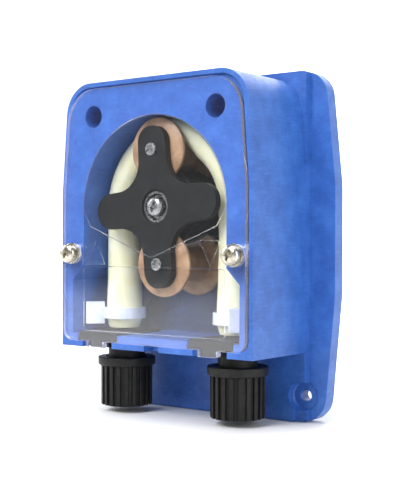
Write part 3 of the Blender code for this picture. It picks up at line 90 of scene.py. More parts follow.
class Finish:
    """One procedural finish: cloudy colour, uneven gloss and a fine grain."""

    def __init__(self, name, colours, patch, grain, height, gloss, metallic=0.0):
        self.material = bpy.data.materials.new(name)
        self.material.use_nodes = True
        self.tree = self.material.node_tree
        self.shader = self.tree.nodes["Principled BSDF"]
        self.shader.inputs["Metallic"].default_value = metallic
        self.place = self.tree.nodes.new("ShaderNodeTexCoord").outputs["Object"]
        clouds = self.noise(patch, 6.0)
        self.colour = self.ramp(clouds, colours)
        self.join(self.colour, self.shader.inputs["Base Color"])
        self.join(self.spread(self.noise(patch / 3, 4.0), *gloss), self.shader.inputs["Roughness"])
        self.normal = None
        self.bump(self.noise(grain, 3.0), height)

    def join(self, output, socket):
        self.tree.links.new(output, socket)

    def stretched(self, x, y, z, turn=0.0):
        """The object's coordinates, drawn out along an axis."""
        node = self.tree.nodes.new("ShaderNodeMapping")
        node.inputs["Scale"].default_value = (x, y, z)
        node.inputs["Rotation"].default_value = (0, turn, 0)
        self.join(self.place, node.inputs["Vector"])
        return node.outputs["Vector"]

    def noise(self, size, detail, where=None, roughness=0.6):
        """Noise whose features are this many millimetres across."""
        node = self.tree.nodes.new("ShaderNodeTexNoise")
        node.inputs["Scale"].default_value = 1.0 / (size * MM)
        node.inputs["Detail"].default_value = detail
        node.inputs["Roughness"].default_value = roughness
        self.join(where or self.place, node.inputs["Vector"])
        return node.outputs["Fac"]

    def ramp(self, value, colours, low=0.3, high=0.7):
        node = self.tree.nodes.new("ShaderNodeValToRGB")
        steps = node.color_ramp.elements
        steps[0].position, steps[1].position = low, high
        steps[0].color, steps[1].color = colours[0], colours[-1]
        if len(colours) == 3:
            middle = steps.new((low + high) / 2)
            middle.color = colours[1]
        self.join(value, node.inputs["Fac"])
        return node.outputs["Color"]

    def spread(self, value, low, high, start=0.3, end=0.7):
        node = self.tree.nodes.new("ShaderNodeMapRange")
        for socket, number in (("From Min", start), ("From Max", end), ("To Min", low), ("To Max", high)):
            node.inputs[socket].default_value = number
        self.join(value, node.inputs["Value"])
        return node.outputs["Result"]

    def sum(self, operation, one, two):
        node = self.tree.nodes.new("ShaderNodeMath")
        node.operation = operation
        for socket, given in zip(node.inputs, (one, two)):
            if isinstance(given, (int, float)):
                socket.default_value = given
            else:
                self.join(given, socket)
        return node.outputs["Value"]

    def blend(self, share, one, two):
        """The first colour where share is 0 and the second where it is 1."""
        node = self.tree.nodes.new("ShaderNodeMix")
        node.data_type = "RGBA"
        self.join(share, node.inputs[0])
        for socket, given in ((node.inputs[6], one), (node.inputs[7], two)):
            if isinstance(given, tuple):
                socket.default_value = given
            else:
                self.join(given, socket)
        return node.outputs[2]

    def bump(self, value, height):
        """A height in millimetres, on top of what is already there."""
        node = self.tree.nodes.new("ShaderNodeBump")
        node.inputs["Distance"].default_value = height * MM
        self.join(value, node.inputs["Height"])
        if self.normal:
            self.join(self.normal, node.inputs["Normal"])
        self.normal = node.outputs["Normal"]
        self.join(self.normal, self.shader.inputs["Normal"])

    def set(self, **sockets):
        for name, value in sockets.items():
            self.shader.inputs[name.replace("_", " ")].default_value = value
        return self

    def axis(self, which):
        """One of the object's coordinates, in metres."""
        node = self.tree.nodes.new("ShaderNodeSeparateXYZ")
        self.join(self.place, node.inputs[0])
        return node.outputs[which]


def blue_moulding():
    made = Finish("blue_moulding", [paint(40, 84, 160), paint(48, 96, 176), paint(60, 110, 190)],
                  9.0, 0.28, 0.035, (0.34, 0.5))
    # flow streaks of the glass filling, and pale specks
    streaks = made.noise(2.2, 8.0, made.stretched(1.0, 0.35, 3.0))
    streaked = made.blend(made.spread(streaks, 0.0, 0.35, 0.5, 0.75), made.colour, paint(80, 128, 212))
    specks = made.noise(0.5, 2.0)
    made.join(made.blend(made.spread(specks, 0.0, 0.4, 0.6, 0.78), streaked, paint(112, 154, 226)),
              made.shader.inputs["Base Color"])
    made.bump(made.noise(6.0, 3.0), 0.05)
    return made.set(Coat_Weight=0.08, Coat_Roughness=0.25, Specular_IOR_Level=0.5)


def black_moulding():
    made = Finish("black_moulding", [paint(14, 14, 14), paint(21, 21, 20), paint(32, 32, 30)],
                  5.0, 0.35, 0.05, (0.38, 0.55))
    dust = made.noise(0.45, 2.0)
    made.join(made.blend(made.spread(dust, 0.0, 0.3, 0.64, 0.8), made.colour, paint(92, 92, 88)),
              made.shader.inputs["Base Color"])
    return made.set(Specular_IOR_Level=0.28)


def rear_moulding():
    made = Finish("rear_moulding", [paint(30, 31, 33), paint(38, 39, 42), paint(48, 49, 52)],
                  12.0, 0.45, 0.08, (0.45, 0.62))
    made.bump(made.noise(1.2, 4.0), 0.03)
    return made


def roller_plastic():
    made = Finish("roller_plastic", [paint(142, 106, 74), paint(180, 141, 105), paint(202, 166, 128)],
                  7.0, 0.3, 0.02, (0.3, 0.46))
    rings = made.noise(1.5, 6.0, made.stretched(1.0, 6.0, 1.0))
    made.join(made.blend(made.spread(rings, 0.0, 0.5, 0.55, 0.8), made.colour, paint(120, 86, 62)),
              made.shader.inputs["Base Color"])
    return made.set(Coat_Weight=0.1, Coat_Roughness=0.3)


def hose_rubber():
    made = Finish("hose_rubber", [paint(244, 238, 190), paint(251, 247, 206), paint(255, 253, 222)],
                  8.0, 0.35, 0.015, (0.42, 0.6))
    made.bump(made.noise(3.0, 3.0, made.stretched(1.0, 1.0, 0.25)), 0.04)
    return made.set(Subsurface_Weight=0.25, Subsurface_Radius=(0.9, 0.8, 0.5), Subsurface_Scale=0.003)


def white_nylon():
    made = Finish("white_nylon", [paint(206, 212, 222), paint(222, 228, 236), paint(234, 238, 244)],
                  4.0, 0.3, 0.015, (0.3, 0.48))
    return made.set(Subsurface_Weight=0.2, Subsurface_Radius=(0.8, 0.8, 0.9), Subsurface_Scale=0.001)


def metal(name, colours, gloss, along=(1.0, 1.0, 1.0), grain=0.18, height=0.008):
    made = Finish(name, colours, 3.0, grain, height, gloss, metallic=1.0)
    lines = made.noise(0.5, 4.0, made.stretched(*along))
    made.bump(lines, height * 1.5)
    return made


def rubber():
    made = Finish("rubber", [paint(18, 18, 18), paint(26, 26, 26), paint(38, 37, 36)],
                  5.0, 0.25, 0.03, (0.65, 0.85))
    return made


def cast_alloy():
    return Finish("cast_alloy", [paint(150, 152, 154), paint(172, 174, 176), paint(190, 192, 194)],
                  6.0, 0.4, 0.05, (0.42, 0.6), metallic=1.0)


def clear_plastic():
    """Clear plastic with fine scratches, a bloom of haze by the left edge and at the foot,
    and lamps that shine through to what is behind."""
    made = Finish("clear_plastic", [(0.93, 0.945, 0.985, 1), (0.955, 0.965, 0.99, 1)],
                  30.0, 4.0, 0.004, (0.0, 0.03))
    made.set(Transmission_Weight=1.0, IOR=1.58)
    x, z = made.axis("X"), made.axis("Z")
    by_left = made.spread(x, 1.0, 0.0, -0.047, -0.040)
    by_foot = made.spread(z, 1.0, 0.0, AXIS - 0.056, AXIS - 0.047)
    low_right = made.sum("MULTIPLY", made.spread(x, 0.0, 1.0, 0.012, 0.045),
                         made.spread(z, 1.0, 0.0, AXIS - 0.05, AXIS - 0.02))
    haze = made.sum("MAXIMUM", made.sum("MULTIPLY", by_left, 0.8),
                    made.sum("MAXIMUM", made.sum("MULTIPLY", by_foot, 0.5),
                             made.sum("MULTIPLY", low_right, 0.35)))
    specks = made.spread(made.noise(0.7, 5.0), 0.15, 1.0, 0.45, 0.68)
    scratches = made.spread(made.noise(0.9, 3.0, made.stretched(0.06, 1.0, 1.0, math.radians(28))),
                            0.0, 0.5, 0.66, 0.74)
    more = made.spread(made.noise(0.8, 3.0, made.stretched(1.0, 1.0, 0.05, math.radians(-12))),
                       0.0, 0.5, 0.67, 0.75)
    veil = made.sum("ADD", made.sum("MULTIPLY", haze, specks), made.sum("MAXIMUM", scratches, more))
    # Faces turned away from the front, the cover's edges and the sides of the moulded lines, get a share of
    # pale lavender diffuse: a painted highlight standing in for the light caught in the clear edges
    faces = made.tree.nodes.new("ShaderNodeSeparateXYZ")
    made.join(made.tree.nodes["Texture Coordinate"].outputs["Normal"], faces.inputs[0])
    edge = made.spread(made.sum("ABSOLUTE", faces.outputs["Y"], 0), 0.26, 0.0, 0.55, 0.9)
    share = made.sum("MAXIMUM", made.sum("MULTIPLY", veil, 0.07), edge)
    made.bump(made.sum("ADD", scratches, more), 0.006)
    nodes = made.tree.nodes
    # This pale lavender diffuse carries both the haze and the painted edge highlight
    haze_and_painted_edge_light = nodes.new("ShaderNodeBsdfDiffuse")
    haze_and_painted_edge_light.inputs["Color"].default_value = (0.74, 0.72, 0.86, 1)
    glass_haze_and_painted_edge = nodes.new("ShaderNodeMixShader")
    made.join(share, glass_haze_and_painted_edge.inputs[0])
    made.join(made.shader.outputs[0], glass_haze_and_painted_edge.inputs[1])
    made.join(haze_and_painted_edge_light.outputs[0], glass_haze_and_painted_edge.inputs[2])
    through = nodes.new("ShaderNodeBsdfTransparent")
    through.inputs["Color"].default_value = (0.93, 0.94, 0.97, 1)
    lit = nodes.new("ShaderNodeMixShader")
    path = nodes.new("ShaderNodeLightPath")
    made.join(path.outputs["Is Shadow Ray"], lit.inputs[0])
    made.join(glass_haze_and_painted_edge.outputs[0], lit.inputs[1])
    made.join(through.outputs[0], lit.inputs[2])
    made.join(lit.outputs[0], nodes["Material Output"].inputs["Surface"])
    return made


FINISHES = {
    "blue_housing": blue_moulding(),
    "black_housing": rear_moulding(),
    "rubber": rubber(),
    "cast_alloy": cast_alloy(),
    "brass": metal("brass", [paint(196, 158, 92), paint(222, 186, 118), paint(238, 208, 146)], (0.22, 0.36)),
    "steel": metal("steel", [paint(150, 148, 144), paint(186, 184, 180), paint(210, 208, 204)], (0.2, 0.38)),
    "zinc_steel": metal("zinc_steel", [paint(172, 166, 150), paint(202, 197, 184), paint(224, 220, 210)],
                        (0.18, 0.36)),
    "black_plastic": black_moulding(),
    "tan_roller": roller_plastic(),
    "cream_hose": hose_rubber(),
    "white_nylon": white_nylon(),
    "clear_cover": clear_plastic(),
}


# --- shaping ------------------------------------------------------------------------------

TURNS = {"x": (0, math.pi / 2, 0), "y": (math.pi / 2, 0, 0), "z": (0, 0, 0)}
ALONG = {"x": Vector((1, 0, 0)), "y": Vector((0, 1, 0)), "z": Vector((0, 0, 1))}


def put_down():
    """Leaves edit mode with nothing selected."""
    if bpy.context.mode != "OBJECT":
        bpy.ops.object.mode_set(mode="OBJECT")
    bpy.ops.object.select_all(action="DESELECT")


def take(piece):
    put_down()
    piece.select_set(True)
    bpy.context.view_layer.objects.active = piece


def open_up(piece):
    take(piece)
    bpy.ops.object.mode_set(mode="EDIT")
    bpy.ops.mesh.select_mode(type="FACE")


def fresh(name):
    """The primitive just added, with its place in its mesh."""
    piece = bpy.context.active_object
    piece.name = name
    bpy.ops.object.transform_apply(location=True, rotation=True, scale=True)
    return piece


def close_up(weld=0.002):
    """Merges doubles, turns the faces outwards and leaves edit mode."""
    bpy.ops.mesh.select_all(action="SELECT")
    bpy.ops.mesh.remove_doubles(threshold=weld * MM)
    bpy.ops.mesh.normals_make_consistent(inside=False)
    bpy.ops.object.mode_set(mode="OBJECT")


def pick_faces(piece, test):
    """Selects the faces whose middle and normal pass the test."""
    bpy.ops.mesh.select_all(action="DESELECT")
    shape = bmesh.from_edit_mesh(piece.data)
    for face in shape.faces:
        if test(face.calc_center_median(), face.normal):
            face.select_set(True)
    bmesh.update_edit_mesh(piece.data)


def turned(name, centre, along, profile, sides=64, hollow=False):
    """A turned piece: a disc, or a ring if hollow, drawn out through (radius, place) steps.
    A hollow profile runs right round the wall and back to its start."""
    put_down()
    line = ALONG[along]
    radius, place = profile[0]
    bpy.ops.mesh.primitive_circle_add(vertices=sides, radius=radius * MM,
                                      fill_type="NOTHING" if hollow else "NGON",
                                      location=centre + line * place * MM, rotation=TURNS[along])
    piece = fresh(name)
    bpy.ops.object.mode_set(mode="EDIT")
    bpy.ops.mesh.select_mode(type="EDGE" if hollow else "FACE")
    bpy.ops.mesh.select_all(action="SELECT")
    steps = list(profile) + ([profile[0]] if hollow else [])
    for (before, start), (after, end) in zip(steps, steps[1:]):
        move = {"value": tuple(line * (end - start) * MM)}
        if hollow:
            bpy.ops.mesh.extrude_edges_move(TRANSFORM_OT_translate=move)
        else:
            bpy.ops.mesh.extrude_region_move(TRANSFORM_OT_translate=move)
        if after != before:
            size = after / before
            bpy.ops.transform.resize(value=tuple(1.0 if axis else size for axis in line),
                                     center_override=tuple(centre + line * end * MM))
    close_up()
    return piece


def plate(name, outline, front, back):
    """A flat piece with this outline in x and z, from front to back."""
    put_down()
    bpy.ops.mesh.primitive_circle_add(vertices=len(outline), radius=10 * MM, fill_type="NGON",
                                      location=spot(0, front, 0), rotation=TURNS["y"])
    piece = fresh(name)
    for corner, (x, z) in zip(piece.data.vertices, outline):
        corner.co = spot(x, front, z)
    bpy.ops.object.mode_set(mode="EDIT")
    bpy.ops.mesh.select_all(action="SELECT")
    bpy.ops.mesh.extrude_region_move(TRANSFORM_OT_translate={"value": (0, (back - front) * MM, 0)})
    close_up()
    return piece


def box(name, low, high):
    put_down()
    low, high = spot(*low), spot(*high)
    bpy.ops.mesh.primitive_cube_add(size=1.0, location=(low + high) / 2)
    bpy.context.active_object.scale = high - low
    return fresh(name)


def shaped(piece, operation, tools):
    for tool in tools:
        take(piece)
        step = piece.modifiers.new(operation, "BOOLEAN")
        step.operation = operation
        step.solver = "EXACT"
        step.object = tool
        bpy.ops.object.modifier_apply(modifier=step.name)
        bpy.data.objects.remove(tool)
    return piece


def cut(piece, *tools):
    return shaped(piece, "DIFFERENCE", tools)


def weld(piece, *tools):
    return shaped(piece, "UNION", tools)


def even_out(piece, angle=40):
    """Smooth shading that keeps flat faces flat."""
    take(piece)
    bpy.ops.object.shade_smooth_by_angle(angle=math.radians(angle))
    step = piece.modifiers.new("shading", "WEIGHTED_NORMAL")
    step.keep_sharp = True
    bpy.ops.object.modifier_apply(modifier=step.name)


def soften(piece, width, segments=2, angle=35.0):
    """Rounds every sharp edge and evens out the shading."""
    open_up(piece)
    bpy.ops.mesh.select_all(action="SELECT")
    bpy.ops.mesh.remove_doubles(threshold=0.004 * MM)
    bpy.ops.mesh.dissolve_limited(angle_limit=math.radians(0.5))
    bpy.ops.mesh.normals_make_consistent(inside=False)
    put_down()
    take(piece)
    step = piece.modifiers.new("edges", "BEVEL")
    step.width = width * MM
    step.segments = segments
    step.limit_method = "ANGLE"
    step.angle_limit = math.radians(angle)
    step.miter_outer = "MITER_ARC"
    bpy.ops.object.modifier_apply(modifier=step.name)
    even_out(piece)
    return piece


def copied(node, name):
    """A merged copy of a CAD node's mesh, to be refined."""
    put_down()
    piece = bpy.data.objects.new(name, frame["nodes"][node].data.copy())
    bpy.context.scene.collection.objects.link(piece)
    open_up(piece)
    close_up()
    return piece


def place(piece, body, slot_name, *nodes):
    """Gives a finished piece its finish and its body, and hides the CAD nodes that it stands for."""
    put_down()
    piece.data.materials.clear()
    piece.data.materials.append(FINISHES[slot_name].material)
    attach(piece, body)
    if nodes:
        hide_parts(*nodes)
    return piece


def join_up(name, *pieces):
    """Makes one object of several."""
    put_down()
    for piece in pieces:
        piece.select_set(True)
    bpy.context.view_layer.objects.active = pieces[0]
    bpy.ops.object.join()
    pieces[0].name = name
    return pieces[0]


# --- outlines -------------------------------------------------------------------------------

def rounded(corners, chord=0.9):
    """An outline from corners (x, z, radius), its arcs drawn in chords of about this length."""
    outline = []
    count = len(corners)
    for i, (x, z, radius) in enumerate(corners):
        if radius <= 0:
            outline.append((x, z))
            continue
        here = Vector((x, z))
        one = (Vector(corners[i - 1][:2]) - here).normalized()
        two = (Vector(corners[(i + 1) % count][:2]) - here).normalized()
        half = one.angle(two) / 2
        middle = here + (one + two).normalized() * radius / math.sin(half)
        run = radius / math.tan(half)
        start, end = here + one * run - middle, here + two * run - middle
        begin = math.atan2(start.y, start.x)
        sweep = (math.atan2(end.y, end.x) - begin + math.pi) % (2 * math.pi) - math.pi
        steps = max(2, round(abs(sweep) * radius / chord))
        for step in range(steps + 1):
            angle = begin + sweep * step / steps
            outline.append((middle.x + radius * math.cos(angle), middle.y + radius * math.sin(angle)))
    return outline


def arc_line(radius, start, end, step):
    """An arc round the rotor's axis, in degrees from the right."""
    return [(radius * math.cos(math.radians(a)), radius * math.sin(math.radians(a)))
            for a in range(start, end + 1, step)]


def mirrored(half):
    """The right half of an outline, from its foot to its top, and its mirror image."""
    return list(half) + [(-x, *rest) for x, *rest in reversed(half)]


def casing_line(inset=0.0, bottom=CASE_FOOT, foot=0.0):
    half = CASE_HALF - inset
    return rounded(mirrored([(half, bottom, foot), (half, 7.0, 60.0),
                             (half - 3.4, 52.9 - inset, 13.5 - inset)]))


# --- casing and mounting plate -----------------------------------------------------------------

def make_casing():
    outline = rounded(mirrored([(57.0, -87.6, 11.0), (61.8, -36.5, 60.0), (61.8, 9.0, 60.0),
                                (57.0, 55.4, 11.0)]))
    casing = plate("casing", outline, PAD_FACE, WALL)
    for side, label in SIDES:
        inner, outer = sorted((side * CASE_HALF, side * 63.0))
        cut(casing, box("strip", (inner, 36.0, -90.0), (outer, STRIP_FACE, 58.0)))
    weld(casing, plate("shell", casing_line(), 0.0, 38.0))
    cut(casing, plate("recess", casing_line(LIP_WALL, LIP_FOOT, 4.5), -1.0, BLOCK_FACE))
    arch = arc_line(TRACK_RADIUS, 0, 180, 2)
    chamber = arch + [(-TRACK_RADIUS, -24.4), (-43.7, -30.6), (-43.7, -53.5), (43.7, -53.5), (43.7, -30.6),
                      (TRACK_RADIUS, -24.4)]
    cut(casing, plate("chamber", chamber, 1.0, PAD_FACE),
        box("lip_gap", (-3.8, -1.0, -60.0), (3.8, 6.0, -56.2)))
    for side, label in SIDES:
        x = side * HOSE_X
        cut(casing, box("groove", (x - 11.3, 1.0, -56.5), (x + 11.3, 30.45, -53.0)),
            box("slot", (x - 8.3, -1.0, -60.0), (x + 8.3, HOSE_DEPTH, -56.0)),
            turned("slot_end", spot(x, HOSE_DEPTH, 0), "z", [(8.3, -60.0), (8.3, -56.0)]))
        cut(casing, turned("screw_hole", spot(side * HOLE_X, 0, HOLE_Z), "y",
                           [(6.0, 36.5), (6.0, 40.9), (5.4, 41.5), (2.7, 41.5), (2.25, 42.1), (2.25, 48.0)]))
        x = side * 47.5
        cut(casing, box("drip_notch", (x - 2.5, 36.5, -89.0), (x + 2.5, 39.2, -82.5)))
        well = [(4.7, 1.0), (4.5, 28.0), (2.3, 28.0), (2.3, 48.0)]
        cut(casing, turned("well", spot(side * 32.0, 0, 38.5), "y", well),
            turned("insert_seat", spot(side * SCREW_X, 0, SCREW_Z), "y", [(3.2, 1.0), (3.2, 12.8)], 32))
    pocket_line = rounded(mirrored([(22.995, -39.03, 5.0), (22.995, 22.995, 5.0)]))
    cut(casing, plate("pocket", pocket_line, 41.3, 48.0),
        turned("shaft_hole", spot(0, 0, 0), "y", [(6.8, 37.0), (6.8, 42.0)], 48))
    soften(casing, 0.5, 3)
    place(casing, "root", "blue_housing", "housing")


def cover_line():
    return rounded(mirrored([(25.05, -56.4, 0.0), (25.05, -59.0, 0.5), (34.25, -59.0, 0.9), (34.25, -56.4, 0.0),
                             (47.6, -56.4, 4.5), (47.6, 7.0, 60.0), (44.2, 50.0, 14.5)]))


def bead(name, points, radius, depth, closed=True):
    """A round bead along a line, to be welded to the cover."""
    line = bpy.data.curves.new(name, "CURVE")
    line.dimensions = "3D"
    run = line.splines.new("POLY")
    run.points.add(len(points) - 1)
    for point, (x, z) in zip(run.points, points):
        point.co = (*spot(x, depth, z), 1)
    run.use_cyclic_u = closed
    line.bevel_depth = radius * MM
    line.bevel_resolution = 2
    line.use_fill_caps = True
    piece = bpy.data.objects.new(name, line)
    bpy.context.scene.collection.objects.link(piece)
    take(piece)
    bpy.ops.object.convert(target="MESH")
    return bpy.context.active_object


def make_cover():
    cover = plate("clear_front", cover_line(), COVER_FRONT, COVER_BACK)
    for side, label in SIDES:
        cut(cover, turned("bush_hole", spot(side * SCREW_X, 0, SCREW_Z), "y", [(4.35, -3.0), (4.35, 2.0)]))
    soften(cover, 0.35, 2)
    drop = arc_line(TRACK_RADIUS - 0.2, -2, 182, 4)
    drop += [(-33.0, -8.0), (-2.4, -19.9), (0.0, -20.7), (2.4, -19.9), (33.0, -8.0)]
    frame_line = rounded(mirrored([(37.0, -51.9, 1.7), (37.0, -24.7, 1.7)]))
    weld(cover, bead("drop", drop, 0.2, MARK_DEPTH), bead("foot_frame", frame_line, 0.18, MARK_DEPTH),
         bead("up_mark", [(-35, -23.8), (-25, -23.8), (-30, -13.8)], 0.18, MARK_DEPTH),
         bead("down_mark", [(35, -13.8), (25, -13.8), (30, -23.8)], 0.18, MARK_DEPTH))
    even_out(cover, 30)
    place(cover, "cover", "clear_cover", "clear_cover")
    for side, label in SIDES:
        bush = turned(f"cover_bush_{label}", spot(side * SCREW_X, 0, SCREW_Z), "y",
                      [(4.28, -1.6), (4.28, 1.1), (2.4, 1.1), (2.4, -1.6)], 48, hollow=True)
        soften(bush, 0.12)
        place(bush, "cover", "brass")


def cross_recess(centre, depth, size, height):
    """The tapered cross that a screwdriver fits: two wedges, pinched at their inner end."""
    blades = []
    for turn in (0.35, 0.35 + math.pi / 2):
        put_down()
        bpy.ops.mesh.primitive_cube_add(size=1.0, location=(0, 0, 0))
        blade = bpy.context.active_object
        blade.scale = (size * MM, height * MM, size * 0.24 * MM)
        blade = fresh("blade")
        open_up(blade)
        pick_faces(blade, lambda middle, normal: normal.y > 0.9)
        bpy.ops.transform.resize(value=(0.5, 1.0, 0.7))
        put_down()
        blade.data.transform(Matrix.Rotation(turn, 4, "Y"))
        blade.data.transform(Matrix.Translation(centre + Vector((0, depth * MM, 0))))
        blades.append(blade)
    return blades


def pan_head(name, centre, front, seat, shank_end, radius=4.0):
    """A pan-head screw with a cross recess, and a shank with thread grooves."""
    height = seat - front
    profile = [(radius * 0.3, front), (radius * 0.62, front + height * 0.08),
               (radius * 0.85, front + height * 0.26), (radius * 0.97, front + height * 0.52),
               (radius, front + height * 0.74), (radius * 0.985, seat),
               (1.95, seat)]
    place_now, pitch = seat + 0.5, 0.7
    profile.append((1.95, place_now))
    while place_now + pitch < shank_end - 0.5:
        profile += [(1.65, place_now + pitch * 0.45), (1.95, place_now + pitch * 0.9),
                    (1.95, place_now + pitch)]
        place_now += pitch
    profile += [(1.7, shank_end - 0.1), (1.4, shank_end)]
    screw = turned(name, centre, "y", profile, 48)
    cut(screw, *cross_recess(centre, front + height * 0.25, radius * 1.3, height * 1.1))
    take(screw)
    bpy.ops.object.shade_smooth_by_angle(angle=math.radians(42))
    return screw


def make_cover_fasteners():
    for side, label in SIDES:
        centre = spot(side * SCREW_X, 0, SCREW_Z)
        screw = pan_head(f"front_screw_{label}", centre, -6.25, -4.1, 8.3)
        place(screw, f"cover_screw_{label}", "zinc_steel", f"cover_screw_{label}")
        flat = turned(f"front_washer_{label}", centre, "y",
                      [(4.5, -2.7), (4.5, -2.1), (2.3, -2.1), (2.3, -2.7)], 64, hollow=True)
        soften(flat, 0.12)
        place(flat, f"cover_washers_{label}", "zinc_steel", f"flat_washer_{label}")
        spring = turned(f"front_spring_{label}", centre, "y",
                        [(3.8, -3.78), (3.8, -3.0), (2.3, -3.0), (2.3, -3.78)], 64, hollow=True)
        gap = box("split", (side * SCREW_X - 0.35, -4.2, -16.7), (side * SCREW_X + 0.35, -2.8, -14.0))
        cut(spring, gap)
        soften(spring, 0.1)
        place(spring, f"cover_washers_{label}", "zinc_steel", f"spring_washer_{label}")


# --- hose, ties, fittings and nuts ------------------------------------------------------------------

def make_hose():
    hose = copied("pump_hose", "pump_tube")
    open_up(hose)
    bpy.ops.mesh.select_all(action="SELECT")
    bpy.ops.mesh.tris_convert_to_quads(face_threshold=math.radians(60), shape_threshold=math.radians(60))
    bpy.ops.transform.shrink_fatten(value=0.26 * MM)
    put_down()
    take(hose)
    step = hose.modifiers.new("round", "SUBSURF")
    step.levels = step.render_levels = 2
    bpy.ops.object.modifier_apply(modifier=step.name)
    bpy.ops.object.shade_smooth_by_angle(angle=math.radians(50))
    place(hose, "root", "cream_hose", "pump_hose")


def make_ties():
    """Cable ties with a solid head; the left head is seen end on and stands further out."""
    heads = {"left": (225, 8.0, 2.5), "right": (-50, 4.6, 3.75)}    # turn, reach and half width
    for side, label in SIDES:
        angle, reach, half = heads[label]
        centre = spot(side * HOSE_X, HOSE_DEPTH, 0)
        band = turned("band", centre, "z", [(9.4, -47.4), (9.4, -42.6), (8.25, -42.6), (8.25, -47.4)], 80,
                      hollow=True)
        head = box("head", (8.75, -half, -49.7), (8.75 + reach, half, -40.3))
        head.data.transform(Matrix.Translation(-spot(0, 0, 0)))
        head.data.transform(Matrix.Rotation(math.radians(angle), 4, "Z"))
        head.data.transform(Matrix.Translation(centre))
        weld(band, head)
        tie = soften(band, 0.45, 3)
        place(tie, "root", "white_nylon", f"hose_tie_{label}")


def make_nuts():
    per_rib = NUT_SIDES // RIB_COUNT
    for side, label in SIDES:
        centre = spot(side * HOSE_X, HOSE_DEPTH, 0)
        profile = [(12.2, -64.0), (12.5, -64.35), (12.45, -67.2), (12.1, -67.7), (10.0, -67.8), (9.9, -83.6),
                   (9.8, -84.8), (9.3, -85.3), (6.6, -85.3), (6.3, -85.0), (6.3, -82.3), (9.0, -79.3),
                   (9.0, -64.0)]
        nut = turned(f"ribbed_nut_{label}", centre, "z", profile, NUT_SIDES, hollow=True)
        open_up(nut)

        def on_rib(middle, normal):
            out = middle - centre
            height = (middle.z - AXIS) / MM
            facet = int((math.atan2(out.y, out.x) / (2 * math.pi) * NUT_SIDES) % NUT_SIDES)
            outside = math.hypot(out.x, out.y) / MM > 9.5 and normal.x * out.x + normal.y * out.y > 0
            return outside and -84.7 < height < -67.85 and facet % per_rib < per_rib // 2

        pick_faces(nut, on_rib)
        bpy.ops.mesh.extrude_region_shrink_fatten(TRANSFORM_OT_shrink_fatten={"value": 1.2 * MM})
        put_down()
        soften(nut, 0.33, 3, 28.0)
        place(nut, f"nut_{label}", "black_plastic", f"compression_nut_{label}")


def make_fittings():
    for name in ("inlet_fitting", "outlet_fitting"):
        fitting = copied(name, name + "_body")
        soften(fitting, 0.35)
        place(fitting, "root", "black_plastic", name)


# --- rotor --------------------------------------------------------------------------------------------

def spider_line():
    half = [(7.0, -33.3, 6.9), (7.6, -7.9, 12.0), (31.2, -7.3, 7.2), (31.2, 7.3, 7.2), (7.6, 7.9, 12.0),
            (7.0, 33.3, 6.9)]
    return [swung(x, z) for x, z in rounded(mirrored(half), 0.7)]


def make_spider(name, node, face, outward):
    inner = face - outward * SPIDER_THICKNESS
    low, high = sorted((face, inner))
    spider = plate(name, spider_line(), low, high)
    hub_end = inner - outward * 4.0
    low, high = sorted((hub_end, inner + outward * 0.5))
    weld(spider, turned("hub", spot(0, 0, 0), "y", [(9.0, low), (9.0, high)]))
    seat = face - outward * 6.4
    low, high = sorted((seat, face + outward * 0.5))
    cut(spider, turned("bearing_seat", spot(0, 0, 0), "y", [(6.8, low), (6.8, high)]))
    low, high = sorted((seat + outward * 0.5, hub_end - outward * 0.5))
    cut(spider, turned("hub_bore", spot(0, 0, 0), "y", [(5.4, low), (5.4, high)]))
    for end in (1, -1):
        x, z = swung(0, end * PIN_CIRCLE)
        hole = [(2.7, min(face, inner) - 0.5), (2.7, max(face, inner) + 0.5)]
        cut(spider, turned("pin_hole", spot(x, 0, z), "y", hole, 40))
    soften(spider, 0.3, 3)
    place(spider, "rotor", "black_plastic", node)


def make_rollers():
    for end, label in ((1, "top"), (-1, "bottom")):
        x, z = swung(0, end * PIN_CIRCLE)
        centre = spot(x, 0, z)
        profile = [(12.9, 7.0), (13.4, 7.35), (13.5, 7.9), (13.45, 8.5), (13.0, 8.9), (7.9, 8.95), (7.5, 9.3),
                   (7.5, 29.0), (7.9, 29.35), (13.0, 29.4), (13.45, 29.8), (13.5, 30.4), (13.4, 30.95),
                   (12.9, 31.3), (3.2, 31.3), (2.9, 31.0), (2.9, 7.3), (3.2, 7.0)]
        roller = turned(f"flanged_roller_{label}", centre, "y", profile, 96, hollow=True)
        take(roller)
        bpy.ops.object.shade_smooth_by_angle(angle=math.radians(40))
        place(roller, f"roller_{label}", "tan_roller", f"roller_{label}")
        pin = turned(f"roller_axle_{label}", centre, "y",
                     [(2.2, 2.42), (2.48, 2.5), (2.6, 2.75), (2.6, 35.55), (2.48, 35.8), (2.2, 35.88)], 48)
        take(pin)
        bpy.ops.object.shade_smooth_by_angle(angle=math.radians(40))
        place(pin, "rotor", "steel", f"roller_pin_{label}")


def make_bearing(label, front, bore):
    centre = spot(0, 0, 0)
    back = front + 5.0
    outer = turned(f"{label}_outer_race", centre, "y",
                   [(6.3, front), (6.5, front + 0.25), (6.5, back - 0.25), (6.3, back), (5.5, back),
                    (5.4, back - 0.3), (5.65, front + 2.5), (5.4, front + 0.3), (5.5, front)], 72, hollow=True)
    inner_radius = bore + 0.3
    inner = turned(f"{label}_inner_race", centre, "y",
                   [(inner_radius + 1.0, front), (inner_radius + 1.1, front + 0.3),
                    (inner_radius + 0.85, front + 2.5),
                    (inner_radius + 1.1, back - 0.3), (inner_radius + 1.0, back), (inner_radius + 0.1, back),
                    (inner_radius, back - 0.2), (inner_radius, front + 0.2), (inner_radius + 0.1, front)],
                   64, hollow=True)
    for ring, body, node in ((outer, "rotor", f"{label}_bearing_outer_ring"),
                             (inner, "drive_shaft", f"{label}_bearing_inner_ring")):
        take(ring)
        bpy.ops.object.shade_smooth_by_angle(angle=math.radians(35))
        place(ring, body, "steel", node)


